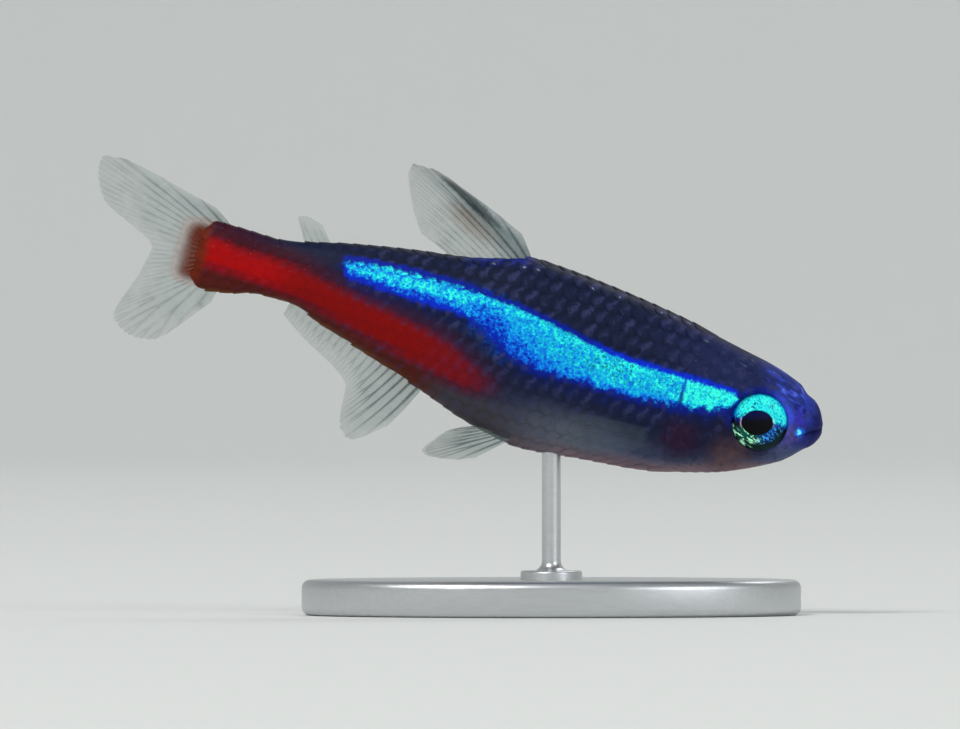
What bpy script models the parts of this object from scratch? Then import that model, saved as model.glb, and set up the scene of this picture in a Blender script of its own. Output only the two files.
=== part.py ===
"""Neon tetra, life size, nose down in mid-water, held over a plain stand by one short rod.

The fish is drawn in its own frame first. Stations run along the body from the tail's root, 0, to
the snout, 1, heights go up from the body's axis, and both are shares of the standard length. A
gentle sideways bend of the tail is laid on, and one empty then pitches the whole fish.
"""

import math

import bmesh
import bpy
from mathutils import Matrix, Vector

# Driving dimensions, in metres and radians
STANDARD_LENGTH = 0.027
PITCH = math.radians(15.8)
GAP = 0.0003
FIN_THICKNESS = 0.0005
TAIL_ROOT_HEIGHT = 0.0151
BASE_SIZE = (0.021, 0.0125, 0.0015)
ROD_RADIUS = 0.0004
ROD_STATION = 0.605

SL = STANDARD_LENGTH
GAP_SHARE = GAP / SL
HALF_FIN_SHARE = FIN_THICKNESS / SL / 2

# Body: station, height of the back, depth of the belly, half the width
STATIONS = (
    (0.000, 0.0595, 0.0530, 0.0165),
    (0.050, 0.0592, 0.0465, 0.0190),
    (0.100, 0.0580, 0.0345, 0.0220),
    (0.150, 0.0668, 0.0352, 0.0265),
    (0.200, 0.0790, 0.0529, 0.0325),
    (0.300, 0.0978, 0.0842, 0.0445),
    (0.400, 0.1125, 0.1165, 0.0565),
    (0.450, 0.1260, 0.1338, 0.0615),
    (0.500, 0.1386, 0.1463, 0.0665),
    (0.550, 0.1362, 0.1545, 0.0700),
    (0.650, 0.1262, 0.1450, 0.0735),
    (0.750, 0.1115, 0.1355, 0.0730),
    (0.850, 0.0915, 0.1120, 0.0660),
    (0.900, 0.0795, 0.0920, 0.0590),
    (0.950, 0.0640, 0.0625, 0.0450),
    (1.005, 0.0440, 0.0360, 0.0330),
)
SNOUT_TIP = STATIONS[-1][0]
SNOUT_ROUND_FROM = 0.95
SNOUT_DROP = 0.004
BELLY_KEEL_STATION = 0.42
TAIL_STEM_STATION = 0.112
AROUND = 36

# The head ends at the gill opening, a shallow curve that lies furthest back at GILL_HEIGHT
GILL_STATION = 0.762
GILL_HEIGHT = -0.03
GILL_CURVE = 2.3
COVER_TOP = 0.036
COVER_BOTTOM = -0.104
COVER_FRONT = 0.826

EYE_STATION = 0.902
EYE_HEIGHT = -0.013
EYE_RADIUS = 0.0444
EYE_FRONT = 0.0605
EYE_BACK = 0.0265
MOUTH_CORNER = (0.958, -0.026)
MOUTH_FRONT = (1.020, 0.004)

BEND_FROM = 0.55
BEND_AMOUNT = 0.164
BEND_POWER = 2.2

# Fin margins, from the first ray to the last: place among the rays, station, height
DORSAL_MARGIN = (
    (0.00, 0.466, 0.1690),
    (0.08, 0.390, 0.2010),
    (0.16, 0.305, 0.2285),
    (0.26, 0.275, 0.2280),
    (0.40, 0.271, 0.2130),
    (0.55, 0.279, 0.1900),
    (0.72, 0.293, 0.1600),
    (1.00, 0.317, 0.1260),
)
ADIPOSE_MARGIN = (
    (0.00, 0.163, 0.0975),
    (0.40, 0.138, 0.1035),
    (0.75, 0.124, 0.1000),
    (1.00, 0.132, 0.0870),
)
ANAL_MARGIN = (
    (0.00, 0.345, -0.1790),
    (0.05, 0.298, -0.2140),
    (0.14, 0.277, -0.1990),
    (0.24, 0.270, -0.1690),
    (0.35, 0.268, -0.1370),
    (0.51, 0.242, -0.1120),
    (0.70, 0.201, -0.0900),
    (0.88, 0.166, -0.0690),
    (1.00, 0.144, -0.0530),
)
CAUDAL_ROOT = (
    (0.00, 0.020, 0.0725),
    (0.05, -0.004, 0.0735),
    (0.10, -0.013, 0.0600),
    (0.50, -0.015, 0.0040),
    (0.88, -0.013, -0.0500),
    (0.94, -0.004, -0.0650),
    (1.00, 0.034, -0.0605),
)
CAUDAL_MARGIN = (
    (0.00, -0.002, 0.0780),
    (0.04, -0.050, 0.0890),
    (0.12, -0.165, 0.1130),
    (0.17, -0.196, 0.1090),
    (0.22, -0.201, 0.0930),
    (0.34, -0.180, 0.0460),
    (0.51, -0.083, -0.0110),
    (0.62, -0.090, -0.0500),
    (0.76, -0.108, -0.1030),
    (0.82, -0.114, -0.1240),
    (0.87, -0.100, -0.1420),
    (0.91, -0.072, -0.1515),
    (0.94, -0.046, -0.1480),
    (1.00, 0.028, -0.0680),
)
PELVIC_MARGIN = (
    (0.00, 0.490, -0.1890),
    (0.12, 0.450, -0.2010),
    (0.24, 0.424, -0.2040),
    (0.36, 0.411, -0.1985),
    (0.55, 0.419, -0.1840),
    (0.80, 0.438, -0.1600),
    (1.00, 0.458, -0.1480),
)
PECTORAL_MARGIN = (
    (0.00, 0.640, -0.0730),
    (0.12, 0.605, -0.0790),
    (0.28, 0.592, -0.0930),
    (0.48, 0.600, -0.1130),
    (0.72, 0.632, -0.1300),
    (1.00, 0.690, -0.1230),
)

INKS = {
    "head": ((0.10, 0.10, 0.30), 0.35),
    "gill_cover": ((0.14, 0.09, 0.22), 0.35),
    "trunk": ((0.07, 0.30, 0.62), 0.35),
    "tail_stem": ((0.55, 0.03, 0.04), 0.35),
    "eye": ((0.06, 0.62, 0.62), 0.12),
    "fin": ((0.55, 0.60, 0.60), 0.40),
    "steel": ((0.62, 0.63, 0.65), 0.30),
}


def clear_scene():
    for old in list(bpy.data.objects):
        bpy.data.objects.remove(old, do_unlink=True)


def collection(name):
    made = bpy.data.collections.new(name)
    bpy.context.scene.collection.children.link(made)
    return made


def material(name):
    colour, roughness = INKS[name]
    made = bpy.data.materials.new(name)
    made.use_nodes = True
    shader = made.node_tree.nodes["Principled BSDF"]
    shader.inputs["Base Color"].default_value = (*colour, 1.0)
    shader.inputs["Roughness"].default_value = roughness
    shader.inputs["Metallic"].default_value = 1.0 if name == "steel" else 0.0
    shader.inputs["Alpha"].default_value = 0.6 if name == "fin" else 1.0
    return made


def smooth_between(table, at):
    """The values of a table at a place, on curves that never swing past its rows."""
    last = len(table) - 1
    place = next((i for i in range(last) if at < table[i + 1][0]), last - 1)
    span = table[place + 1][0] - table[place][0]
    t = (at - table[place][0]) / span
    values = []
    for column in range(1, len(table[0])):
        start, end = (table[i][column] for i in (place, place + 1))
        leave, arrive = (slope_at(table, i, column) * span for i in (place, place + 1))
        values.append(
            (2 * t**3 - 3 * t**2 + 1) * start
            + (t**3 - 2 * t**2 + t) * leave
            + (3 * t**2 - 2 * t**3) * end
            + (t**3 - t**2) * arrive
        )
    return values


def slope_at(table, row, column):
    """The slope of the curve through a table at one row: flat where the values turn back."""
    def chord(low):
        rise = table[low + 1][column] - table[low][column]
        return rise / (table[low + 1][0] - table[low][0])

    if row == 0:
        return chord(0)
    if row == len(table) - 1:
        return chord(row - 1)
    before, after = chord(row - 1), chord(row)
    return 2 * before * after / (before + after) if before * after > 0 else 0.0


def smoothstep(low, high, value):
    t = min(max((value - low) / (high - low), 0.0), 1.0)
    return t * t * (3 - 2 * t)


def snout_share(station):
    """0 along the body, rising to 1 at the snout's tip."""
    return min(max((station - SNOUT_ROUND_FROM) / (SNOUT_TIP - SNOUT_ROUND_FROM), 0.0), 1.0)


def section(station):
    """Height of the back, depth of the belly and half the width at a station."""
    station = min(max(station, 0.0), SNOUT_TIP)
    rounding = math.sqrt(1.0 - snout_share(station) ** 2)
    return [size * rounding for size in smooth_between(STATIONS, station)]


def fullness(station, height):
    """How the sides swell between back and belly: under 1 full, over 1 drawn in to a keel."""
    keel = smoothstep(BELLY_KEEL_STATION + 0.08, BELLY_KEEL_STATION - 0.08, station)
    return 0.92 + 0.2 * (keel if height < 0 else 0.0)


def skin_point(station, angle):
    """Side and height of the skin: the angle is 0 at the back and half a turn at the belly."""
    back, belly, half_width = section(station)
    side, up = math.sin(angle), math.cos(angle)
    spread = math.copysign(abs(side) ** fullness(station, up), side)
    return half_width * spread, (back if up > 0 else belly) * up


def side_of(station, height):
    """Half the body's width at a station and a height."""
    back, belly, half_width = section(station)
    rise = min(abs(height) / (back if height > 0 else belly), 0.999)
    return half_width * math.sqrt(1.0 - rise * rise) ** fullness(station, height)


def belly_at(station, side):
    """Height of the skin under the body at a distance from its middle."""
    _, belly, half_width = section(station)
    across = (side / half_width) ** (1.0 / fullness(station, -1.0))
    return -belly * math.sqrt(1.0 - across * across)


def gill_edge(height):
    return GILL_STATION + GILL_CURVE * (height - GILL_HEIGHT) ** 2


def bent(station, side, height):
    """A point of the straight fish, in shares, carried into the bent fish, in metres."""
    behind = max(0.0, BEND_FROM - station)
    shift = BEND_AMOUNT * behind**BEND_POWER
    turn = math.atan(BEND_AMOUNT * BEND_POWER * behind ** (BEND_POWER - 1.0))
    along = station + side * math.sin(turn)
    return SL * Vector((along, shift + side * math.cos(turn), height))


def face_outwards(bm):
    bm.normal_update()
    bmesh.ops.recalc_face_normals(bm, faces=bm.faces)


def mesh_object(name, bm):
    mesh = bpy.data.meshes.new(name)
    bm.to_mesh(mesh)
    bm.free()
    made = bpy.data.objects.new(name, mesh)
    bpy.context.scene.collection.objects.link(made)
    return made


def finish(obj, ink, parts, parent=None, smooth=True):
    """Colours, parents and shades one node, and moves it to the object's own collection."""
    obj.data.materials.append(ink)
    obj.parent = parent
    bpy.context.scene.collection.objects.unlink(obj)
    parts.objects.link(obj)
    if smooth:
        obj.data.shade_smooth()
        obj.data.set_sharp_from_angle(angle=math.radians(40.0))
    return obj


def apply_modifiers(obj):
    """The object's evaluated mesh takes its mesh's place, and its modifiers go."""
    bpy.context.view_layer.update()
    graph = bpy.context.evaluated_depsgraph_get()
    obj.data = bpy.data.meshes.new_from_object(obj.evaluated_get(graph))
    obj.modifiers.clear()


def body_length(name, rear, front, rings, crowd=1.0):
    """A length of the body: a ball whose rings are moved to the fish's sections.

    rear and front give the station of each end at a height. Where front is None the ball closes
    at the snout, and otherwise its two poles are the middles of two flat ends.
    """
    bm = bmesh.new()
    bmesh.ops.create_uvsphere(bm, u_segments=AROUND, v_segments=rings, radius=1.0)
    skin_rings = rings - 1 if front is None else rings - 2
    for vert in bm.verts:
        ring = round(math.acos(max(-1.0, min(1.0, -vert.co.z))) / math.pi * rings)
        angle = math.atan2(vert.co.y, vert.co.x)
        if ring == 0 or (ring == rings and front is not None):
            end = rear if ring == 0 else front
            vert.co = bent(end(0.0), 0.0, 0.0)
            continue
        start = end_station(rear, angle)
        stop = SNOUT_TIP if front is None else end_station(front, angle)
        share = 1.0 - (1.0 - (ring - 1) / skin_rings) ** crowd
        station = start + (stop - start) * share
        side, height = skin_point(station, angle)
        vert.co = bent(station, side, height - SNOUT_DROP * snout_share(station) ** 2)
    face_outwards(bm)
    return mesh_object(name, bm)


def end_station(end, angle):
    """The station where the skin at this angle meets an end that leans with height."""
    station = end(0.0)
    for _ in range(4):
        station = end(skin_point(station, angle)[1])
    return station


def ellipsoid(name, centre, radii, segments=24):
    """A ball with its poles across the fish."""
    bm = bmesh.new()
    bmesh.ops.create_uvsphere(bm, u_segments=segments, v_segments=segments // 2, radius=1.0)
    bmesh.ops.rotate(bm, cent=(0, 0, 0), matrix=Matrix.Rotation(math.pi / 2, 3, "X"), verts=bm.verts)
    bmesh.ops.scale(bm, vec=radii, verts=bm.verts)
    bmesh.ops.translate(bm, vec=centre, verts=bm.verts)
    return mesh_object(name, bm)


def cover_sheet(margin, rear_margin):
    """The gill cover's rounded outline as a sheet on the skin of the right side."""
    bm = bmesh.new()
    bmesh.ops.create_grid(bm, x_segments=9, y_segments=10, size=1.0)
    middle = (COVER_TOP + COVER_BOTTOM) / 2
    half_height = (COVER_TOP - COVER_BOTTOM) / 2 + margin
    corner_cut = 0.31
    for vert in bm.verts:
        a, b = vert.co.x, vert.co.y
        height = middle + half_height * b * math.sqrt(1 - corner_cut * a * a)
        rear = gill_edge(height) + GAP_SHARE / 2 - rear_margin
        front = COVER_FRONT + margin + 0.35 * (height - GILL_HEIGHT) ** 2
        across = a * math.sqrt(1 - corner_cut * b * b)
        station = (rear + front) / 2 + across * (front - rear) / 2
        vert.co = bent(station, -side_of(station, height), height)
    bm.normal_update()
    if sum(face.normal.y * face.calc_area() for face in bm.faces) > 0:
        bmesh.ops.reverse_faces(bm, faces=bm.faces)
    bmesh.ops.triangulate(bm, faces=bm.faces, quad_method="FIXED")
    return bm


def cover_solid(name, side, margin, rear_margin, outward, inward):
    """The gill cover, or the room cut for it, on the right side, -1, or the left, 1."""
    obj = mesh_object(name, cover_sheet(margin, rear_margin))
    wall = obj.modifiers.new("wall", "SOLIDIFY")
    wall.thickness = outward + inward
    wall.offset = (outward - inward) / (outward + inward)
    apply_modifiers(obj)
    if side > 0:
        obj.data.transform(Matrix.Diagonal((1.0, -1.0, 1.0, 1.0)))
        obj.data.flip_normals()
    return obj


def eye_centre(side):
    return SL * Vector((EYE_STATION, side * (EYE_FRONT + EYE_BACK) / 2, EYE_HEIGHT))


def eye_socket(name, side):
    room = SL * EYE_RADIUS + GAP
    depth = SL * (EYE_FRONT - EYE_BACK) / 2 + GAP
    return ellipsoid(name, eye_centre(side), (room, depth, room))


def eye_profile():
    """Radius and height from the lens's middle, over the iris, round to the eyeball's back."""
    radius, depth = SL * EYE_RADIUS, SL * (EYE_FRONT - EYE_BACK) / 2
    lens = 0.54
    lens_base, lens_rise = 0.78, 0.19
    profile = [(0.0, depth * (lens_base + lens_rise))]
    for share in (0.35, 0.7, 0.92):
        profile.append((share * lens * radius, depth * (lens_base + lens_rise * math.sqrt(1 - share**2))))
    profile.append((lens * radius, depth * (lens_base - 0.04)))
    for share in (0.62, 0.78, 0.90, 0.97):
        profile.append((share * radius, 0.74 * depth * math.sqrt(1 - share**2)))
    profile.append((radius, 0.0))
    for share in (0.93, 0.75, 0.45):
        profile.append((share * radius, -depth * math.sqrt(1 - share**2)))
    profile.append((0.0, -depth))
    return profile


def turned(name, profile, steps):
    """A solid turned about Z from a profile that runs down its outer side from axis to axis."""
    bm = bmesh.new()
    line = [bm.verts.new((radius, 0.0, height)) for radius, height in profile]
    for pair in zip(line, line[1:]):
        bm.edges.new(pair)
    obj = mesh_object(name, bm)
    screw = obj.modifiers.new("turn", "SCREW")
    screw.steps = steps
    screw.render_steps = steps
    screw.use_merge_vertices = True
    screw.merge_threshold = 1e-6
    screw.use_smooth_shade = True
    return obj


def mouth_slit(name):
    """A thin wedge, a little wider at the lips, that leaves the line of the mouth."""
    bm = bmesh.new()
    bmesh.ops.create_cube(bm, size=1.0)
    corner_half, front_half, half_width = 0.0016, 0.0032, 0.06
    for vert in bm.verts:
        station, height = MOUTH_FRONT if vert.co.x > 0 else MOUTH_CORNER
        half = front_half if vert.co.x > 0 else corner_half
        up = math.copysign(half, vert.co.z)
        vert.co = SL * Vector((station, math.copysign(half_width, vert.co.y), height + up))
    return mesh_object(name, bm)


def nostrils(side):
    """Two small pits before one eye."""
    for label, station, height, reach in (("front", 0.967, 0.022, 0.0085), ("rear", 0.953, 0.027, 0.010)):
        centre = SL * Vector((station, side * side_of(station, height), height))
        radii = SL * reach * Vector((1.0, 0.8, 0.8))
        yield ellipsoid(f"cut_nostril_{label}_{side}", centre, radii, 10)


def swell_lips(mesh):
    """Swells the lips above and below the mouth's line."""
    slope = (MOUTH_FRONT[1] - MOUTH_CORNER[1]) / (MOUTH_FRONT[0] - MOUTH_CORNER[0])
    lip_station, lip_length, lip_height, swelling = 0.992, 0.016, 0.018, 0.005
    for vert in mesh.vertices:
        station, height = vert.co.x / SL, vert.co.z / SL
        line = MOUTH_CORNER[1] + (station - MOUTH_CORNER[0]) * slope
        near = math.exp(-(((height - line) / lip_height) ** 2) - ((station - lip_station) / lip_length) ** 2)
        vert.co += vert.normal * (swelling * SL * near)


def head(cutters):
    """The head, with its mouth, nostrils, and the room for eyes and gill covers."""
    obj = body_length("head", lambda height: gill_edge(height) + GAP_SHARE / 2, None, 22, crowd=1.7)
    swell_lips(obj.data)
    rooms = [mouth_slit("cut_mouth")]
    for side in (-1, 1):
        rooms.append(cover_solid(f"cut_gill_cover_{side}", side, GAP_SHARE, 0.03, 0.0010, 0.0007))
        rooms.append(eye_socket(f"cut_eye_{side}", side))
        rooms.extend(nostrils(side))
    for room in rooms:
        room.hide_render = True
        room.display_type = "WIRE"
        bpy.context.scene.collection.objects.unlink(room)
        cutters.objects.link(room)
    boolean = obj.modifiers.new("rooms", "BOOLEAN")
    boolean.operand_type = "COLLECTION"
    boolean.collection = cutters
    boolean.operation = "DIFFERENCE"
    boolean.solver = "EXACT"
    apply_modifiers(obj)
    for room in rooms:
        bpy.data.objects.remove(room, do_unlink=True)
    return obj


def fin(name, foot, margin, rays, rows, place, bow=0.0):
    """A fin: a sheet with one line of points down each ray and one between, then thickened.

    foot gives a ray's root and margin's table its end, in shares, from 0 at the first ray to 1
    at the last. The rays bow forward by a share of their length. place carries a point into the
    fish, and is told how far out along the ray it lies. The thickness follows a weight that is
    highest on the rays and falls over the outer part of the fin.
    """
    columns = 2 * rays
    most = 1.42
    bm = bmesh.new()
    bmesh.ops.create_grid(bm, x_segments=columns, y_segments=rows, size=1.0)
    weights = []
    for vert in bm.verts:
        u, v = (vert.co.x + 1) / 2, (vert.co.y + 1) / 2
        root, end = Vector(foot(u)), Vector(smooth_between(margin, u))
        ray = end - root
        forward = math.copysign(1.0, ray.y) * Vector((ray.y, -ray.x))
        spot = root + ray * v + forward * (bow * 4 * v * (1 - v))
        column = round(u * columns)
        thin = 1.0 - 0.5 * smoothstep(0.62, 1.0, v)
        ridge = (0.16 + 0.26 * smoothstep(0.0, 0.3, v)) * (1.0 - 0.5 * v) if column % 2 else 0.0
        rim = 0.85 if column in (0, columns) else 1.0
        weights.append((thin * rim + ridge) / most)
        vert.co = place(spot.x, spot.y, v)
    bmesh.ops.triangulate(bm, faces=bm.faces, quad_method="FIXED")
    obj = mesh_object(name, bm)
    group = obj.vertex_groups.new(name="thickness")
    for index, weight in enumerate(weights):
        group.add([index], weight, "REPLACE")
    wall = obj.modifiers.new("membrane_and_rays", "SOLIDIFY")
    wall.thickness = FIN_THICKNESS * most
    wall.offset = 0.0
    wall.vertex_group = "thickness"
    return obj


def middle(station, height, _out=0.0):
    """Places a point of a fin that stands in the fish's middle plane."""
    return bent(station, 0.0, height)


def back_root(first, last):
    def foot(u):
        station = first + (last - first) * u
        return station, section(station)[0] + GAP_SHARE

    return foot


def belly_root(first, last):
    def foot(u):
        station = first + (last - first) * u
        return station, -section(station)[1] - GAP_SHARE

    return foot


def pelvic_fin(name, side):
    """One of the pair under the belly, in a plane that leans outwards from its rear root."""
    root_side, lean = 0.020, 0.75
    front, rear = 0.550, 0.506
    rear_height = belly_at(rear, root_side)

    def side_at(height):
        return root_side + lean * (rear_height - height)

    def foot(u):
        station = front + (rear - front) * u
        height = rear_height
        for _ in range(4):
            height = belly_at(station, side_at(height) - HALF_FIN_SHARE)
        return station, height - GAP_SHARE

    def place(station, height, _out):
        return bent(station, side * side_at(height), height)

    return fin(name, foot, PELVIC_MARGIN, 7, 7, place)


def pectoral_fin(name, side):
    """One of the pair behind the gill covers, swept back and held a little out from the flank."""
    turn = math.radians(22.0)
    station, high, low = 0.744, -0.070, -0.098
    level = (high + low) / 2
    out = side_of(station, level) + GAP_SHARE + HALF_FIN_SHARE

    def foot(u):
        return station, high + (low - high) * u

    def place(at, height, along):
        back = station - at
        follow = (side_of(station, height) - side_of(station, level)) * (1.0 - along) ** 2
        sideways = out + back * math.sin(turn) + follow
        return bent(station - back * math.cos(turn), side * sideways, height)

    return fin(name, foot, PECTORAL_MARGIN, 10, 7, place)


def stand_base():
    length, width, thickness = BASE_SIZE
    bm = bmesh.new()
    bmesh.ops.create_cone(bm, cap_ends=True, segments=56, radius1=0.5, radius2=0.5, depth=thickness)
    bmesh.ops.scale(bm, vec=(length, width, 1.0), verts=bm.verts)
    bmesh.ops.translate(bm, vec=(0, 0, thickness / 2), verts=bm.verts)
    obj = mesh_object("stand_base", bm)
    edge = obj.modifiers.new("edge", "BEVEL")
    edge.width = 0.00035
    edge.segments = 2
    edge.limit_method = "ANGLE"
    return obj


def stand_rod(belly):
    """A turned rod with a foot flange; its top face leans with the belly over it."""
    foot_radius, foot_height, fillet = 0.0013, 0.0004, 0.0004
    bottom, top = BASE_SIZE[2] + GAP, belly.z - GAP
    profile = [(0.0, top), (ROD_RADIUS, top)]
    for step in range(4):
        turn = math.pi / 2 * step / 3
        radius = ROD_RADIUS + fillet * (1 - math.cos(turn))
        profile.append((radius, bottom + foot_height + fillet * (1 - math.sin(turn))))
    profile += [(foot_radius, bottom + foot_height), (foot_radius, bottom), (0.0, bottom)]
    obj = turned("stand_rod", profile, 24)
    apply_modifiers(obj)
    for vert in obj.data.vertices:
        if vert.co.z > top - 1e-6:
            vert.co.z -= vert.co.x * math.tan(PITCH)
    obj.location = (belly.x, belly.y, 0.0)
    return obj


def fish_empty(parts):
    """Carries the whole fish: its pitch, and its place over the middle of the stand."""
    empty = bpy.data.objects.new("fish", None)
    parts.objects.link(empty)
    empty.rotation_euler = (0.0, PITCH, 0.0)
    held = Matrix.Rotation(PITCH, 3, "Y") @ middle(ROD_STATION, -section(ROD_STATION)[1])
    empty.location = (-held.x, 0.0, TAIL_ROOT_HEIGHT)
    bpy.context.view_layer.update()
    return empty


def main():
    clear_scene()
    parts = collection("neon_tetra")
    cutters = collection("cutters")
    inks = {name: material(name) for name in INKS}
    fish = fish_empty(parts)

    finish(head(cutters), inks["head"], parts, fish)
    trunk = body_length(
        "trunk",
        lambda height: TAIL_STEM_STATION + GAP_SHARE / 2,
        lambda height: gill_edge(height) - GAP_SHARE / 2,
        32,
    )
    finish(trunk, inks["trunk"], parts, fish)
    stem = body_length("tail_stem", lambda height: 0.0, lambda height: TAIL_STEM_STATION - GAP_SHARE / 2, 9)
    finish(stem, inks["tail_stem"], parts, fish)

    for side, label in ((-1, "right"), (1, "left")):
        cover = cover_solid(f"gill_cover_{label}", side, 0.0, 0.0, 0.00012, 0.0004)
        finish(cover, inks["gill_cover"], parts, fish)
        ball = turned(f"eye_{label}", eye_profile(), 28)
        ball.location = eye_centre(side)
        ball.rotation_euler = (-side * math.pi / 2, 0.0, 0.0)
        finish(ball, inks["eye"], parts, fish)
        finish(pectoral_fin(f"pectoral_fin_{label}", side), inks["fin"], parts, fish, smooth=False)
        finish(pelvic_fin(f"pelvic_fin_{label}", side), inks["fin"], parts, fish, smooth=False)

    for name, foot, margin, rays, rows, bow in (
        ("dorsal_fin", back_root(0.500, 0.385), DORSAL_MARGIN, 11, 9, 0.015),
        ("adipose_fin", back_root(0.192, 0.150), ADIPOSE_MARGIN, 4, 5, 0.0),
        ("anal_fin", belly_root(0.387, 0.150), ANAL_MARGIN, 19, 7, 0.02),
        ("caudal_fin", lambda u: smooth_between(CAUDAL_ROOT, u), CAUDAL_MARGIN, 21, 9, 0.0),
    ):
        finish(fin(name, foot, margin, rays, rows, middle, bow), inks["fin"], parts, fish, smooth=False)

    finish(stand_base(), inks["steel"], parts)
    belly = fish.matrix_world @ middle(ROD_STATION, -section(ROD_STATION)[1])
    finish(stand_rod(belly), inks["steel"], parts)


main()
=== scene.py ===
"""Neon tetra, life size, over a small steel stand: skin, scales, eyes, fins, stand and studio.

The fish is drawn in its own frame first, as its solids are. Stations run along the body from the
tail's root, 0, to the snout, 1, heights go up from the body's axis, and both are shares of the
standard length. A gentle sideways bend of the tail is laid on, and the whole fish is then pitched.
"""

import math
import random
from functools import lru_cache

import bmesh
import bpy
from mathutils import Matrix, Vector


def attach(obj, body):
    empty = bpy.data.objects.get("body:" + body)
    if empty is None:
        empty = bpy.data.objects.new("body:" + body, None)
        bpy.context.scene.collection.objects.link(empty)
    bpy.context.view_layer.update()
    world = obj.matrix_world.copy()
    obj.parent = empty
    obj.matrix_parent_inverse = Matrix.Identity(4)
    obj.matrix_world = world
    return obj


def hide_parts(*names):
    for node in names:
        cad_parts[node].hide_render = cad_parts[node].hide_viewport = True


bl_info = {
    "name": "Neon tetra",
    "version": (1, 0, 0),
    "blender": (4, 5, 0),
    "location": "3D View > Sidebar > Neon tetra",
    "description": "Dresses the solids of a neon tetra with skin, scales, eyes, fins and a stand",
    "category": "Object",
}

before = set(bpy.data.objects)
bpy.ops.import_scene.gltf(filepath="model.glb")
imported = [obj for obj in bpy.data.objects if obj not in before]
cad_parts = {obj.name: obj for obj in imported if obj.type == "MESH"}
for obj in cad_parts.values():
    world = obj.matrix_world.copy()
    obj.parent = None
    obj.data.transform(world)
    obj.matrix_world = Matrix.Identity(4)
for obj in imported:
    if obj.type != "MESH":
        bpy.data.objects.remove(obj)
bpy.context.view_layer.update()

# Driving dimensions, in metres and radians. SL is the standard length, from tail root to snout
SL = 0.027
PITCH = math.radians(15.8)
TAIL_ROOT_HEIGHT = 0.0151
ROD_STATION = 0.605
ROD_RADIUS = 0.0004

# Body: station, height of the back, depth of the belly, half the width
STATIONS = (
    (-0.026, 0.0480, 0.0430, 0.0030),
    (-0.012, 0.0570, 0.0505, 0.0120),
    (0.000, 0.0595, 0.0530, 0.0165),
    (0.050, 0.0592, 0.0465, 0.0190),
    (0.100, 0.0580, 0.0345, 0.0220),
    (0.150, 0.0668, 0.0352, 0.0265),
    (0.200, 0.0790, 0.0529, 0.0325),
    (0.300, 0.0978, 0.0842, 0.0445),
    (0.400, 0.1125, 0.1165, 0.0565),
    (0.450, 0.1260, 0.1338, 0.0615),
    (0.500, 0.1386, 0.1463, 0.0665),
    (0.550, 0.1362, 0.1545, 0.0700),
    (0.650, 0.1262, 0.1450, 0.0735),
    (0.750, 0.1115, 0.1355, 0.0730),
    (0.850, 0.0915, 0.1120, 0.0660),
    (0.900, 0.0812, 0.0920, 0.0590),
    (0.950, 0.0640, 0.0655, 0.0450),
    (0.967, 0.0540, 0.0540, 0.0410),
    (0.985, 0.0570, 0.0440, 0.0375),
    (1.001, 0.0580, 0.0440, 0.0340),
)
TAIL_END = -0.011
TAIL_ROUND_TO = 0.007
SNOUT_TIP = STATIONS[-1][0]
SNOUT_ROUND_FROM = 0.95
SNOUT_DROP = 0.004
BELLY_KEEL_STATION = 0.42

# Where the skin's rings lie: place among the rings, station. They crowd on the head
RING_PLACES = ((0.00, TAIL_END), (0.36, 0.70), (0.50, 0.80), (0.84, 0.965), (1.00, SNOUT_TIP))

# The gill cover's rear edge curves forwards from its rearmost point, and the cheek's bone ends ahead of it
GILL_STATION = 0.762
GILL_HEIGHT = -0.03
GILL_CURVE = 2.3
COVER_TOP = 0.036
COVER_BOTTOM = -0.104
CHEEK_STATION = 0.838

# Eyes: their middle, the ball's radius, front and back from the middle plane, and the pupil
EYE_STATION = 0.902
EYE_HEIGHT = -0.013
EYE_RADIUS = 0.0444
EYE_FRONT = 0.0605
EYE_BACK = 0.0265
EYE_TURN = math.radians(11.0)
PUPIL_BACK = 0.0038
PUPIL_HEIGHT = -0.0012
PUPIL_SIZE = (0.0243, 0.0194)

# On the snout: station and height, and for each nostril its reach as well
NEON_SPECK = (0.966, -0.0120)
MOUTH_CORNER = (0.958, -0.026)
MOUTH_FRONT = (1.020, 0.020)
NOSTRILS = ((0.966, 0.023, 0.0052), (0.955, 0.026, 0.0064))

# The sideways bend starts at a station and grows towards the tail
BEND_FROM = 0.55
BEND_AMOUNT = 0.164
BEND_POWER = 2.2

# Fine relief of the skin, in metres, and the edge of the eye's socket in radii of the eye
CHEEK_RISE = 0.00003
NOSTRIL_RIM = 0.00004
NOSTRIL_DEPTH = 0.00013
ORBIT_RISE = 0.00006
SOCKET_EDGE = (1.05, 0.94)

# Fins: how deep their roots lie in the body, in shares, and how finely their rays are drawn
FIN_SUNK = 0.014
COLUMNS_PER_RAY = 16

# Paint: millimetres in a metre, how strongly the stripe and the iris glow, a painted light given off as
# emission, and the colour of no glow
MILLIMETRES = 1000.0
SHINE = 0.30
BLACK = (0.0, 0.0, 0.0)

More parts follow.
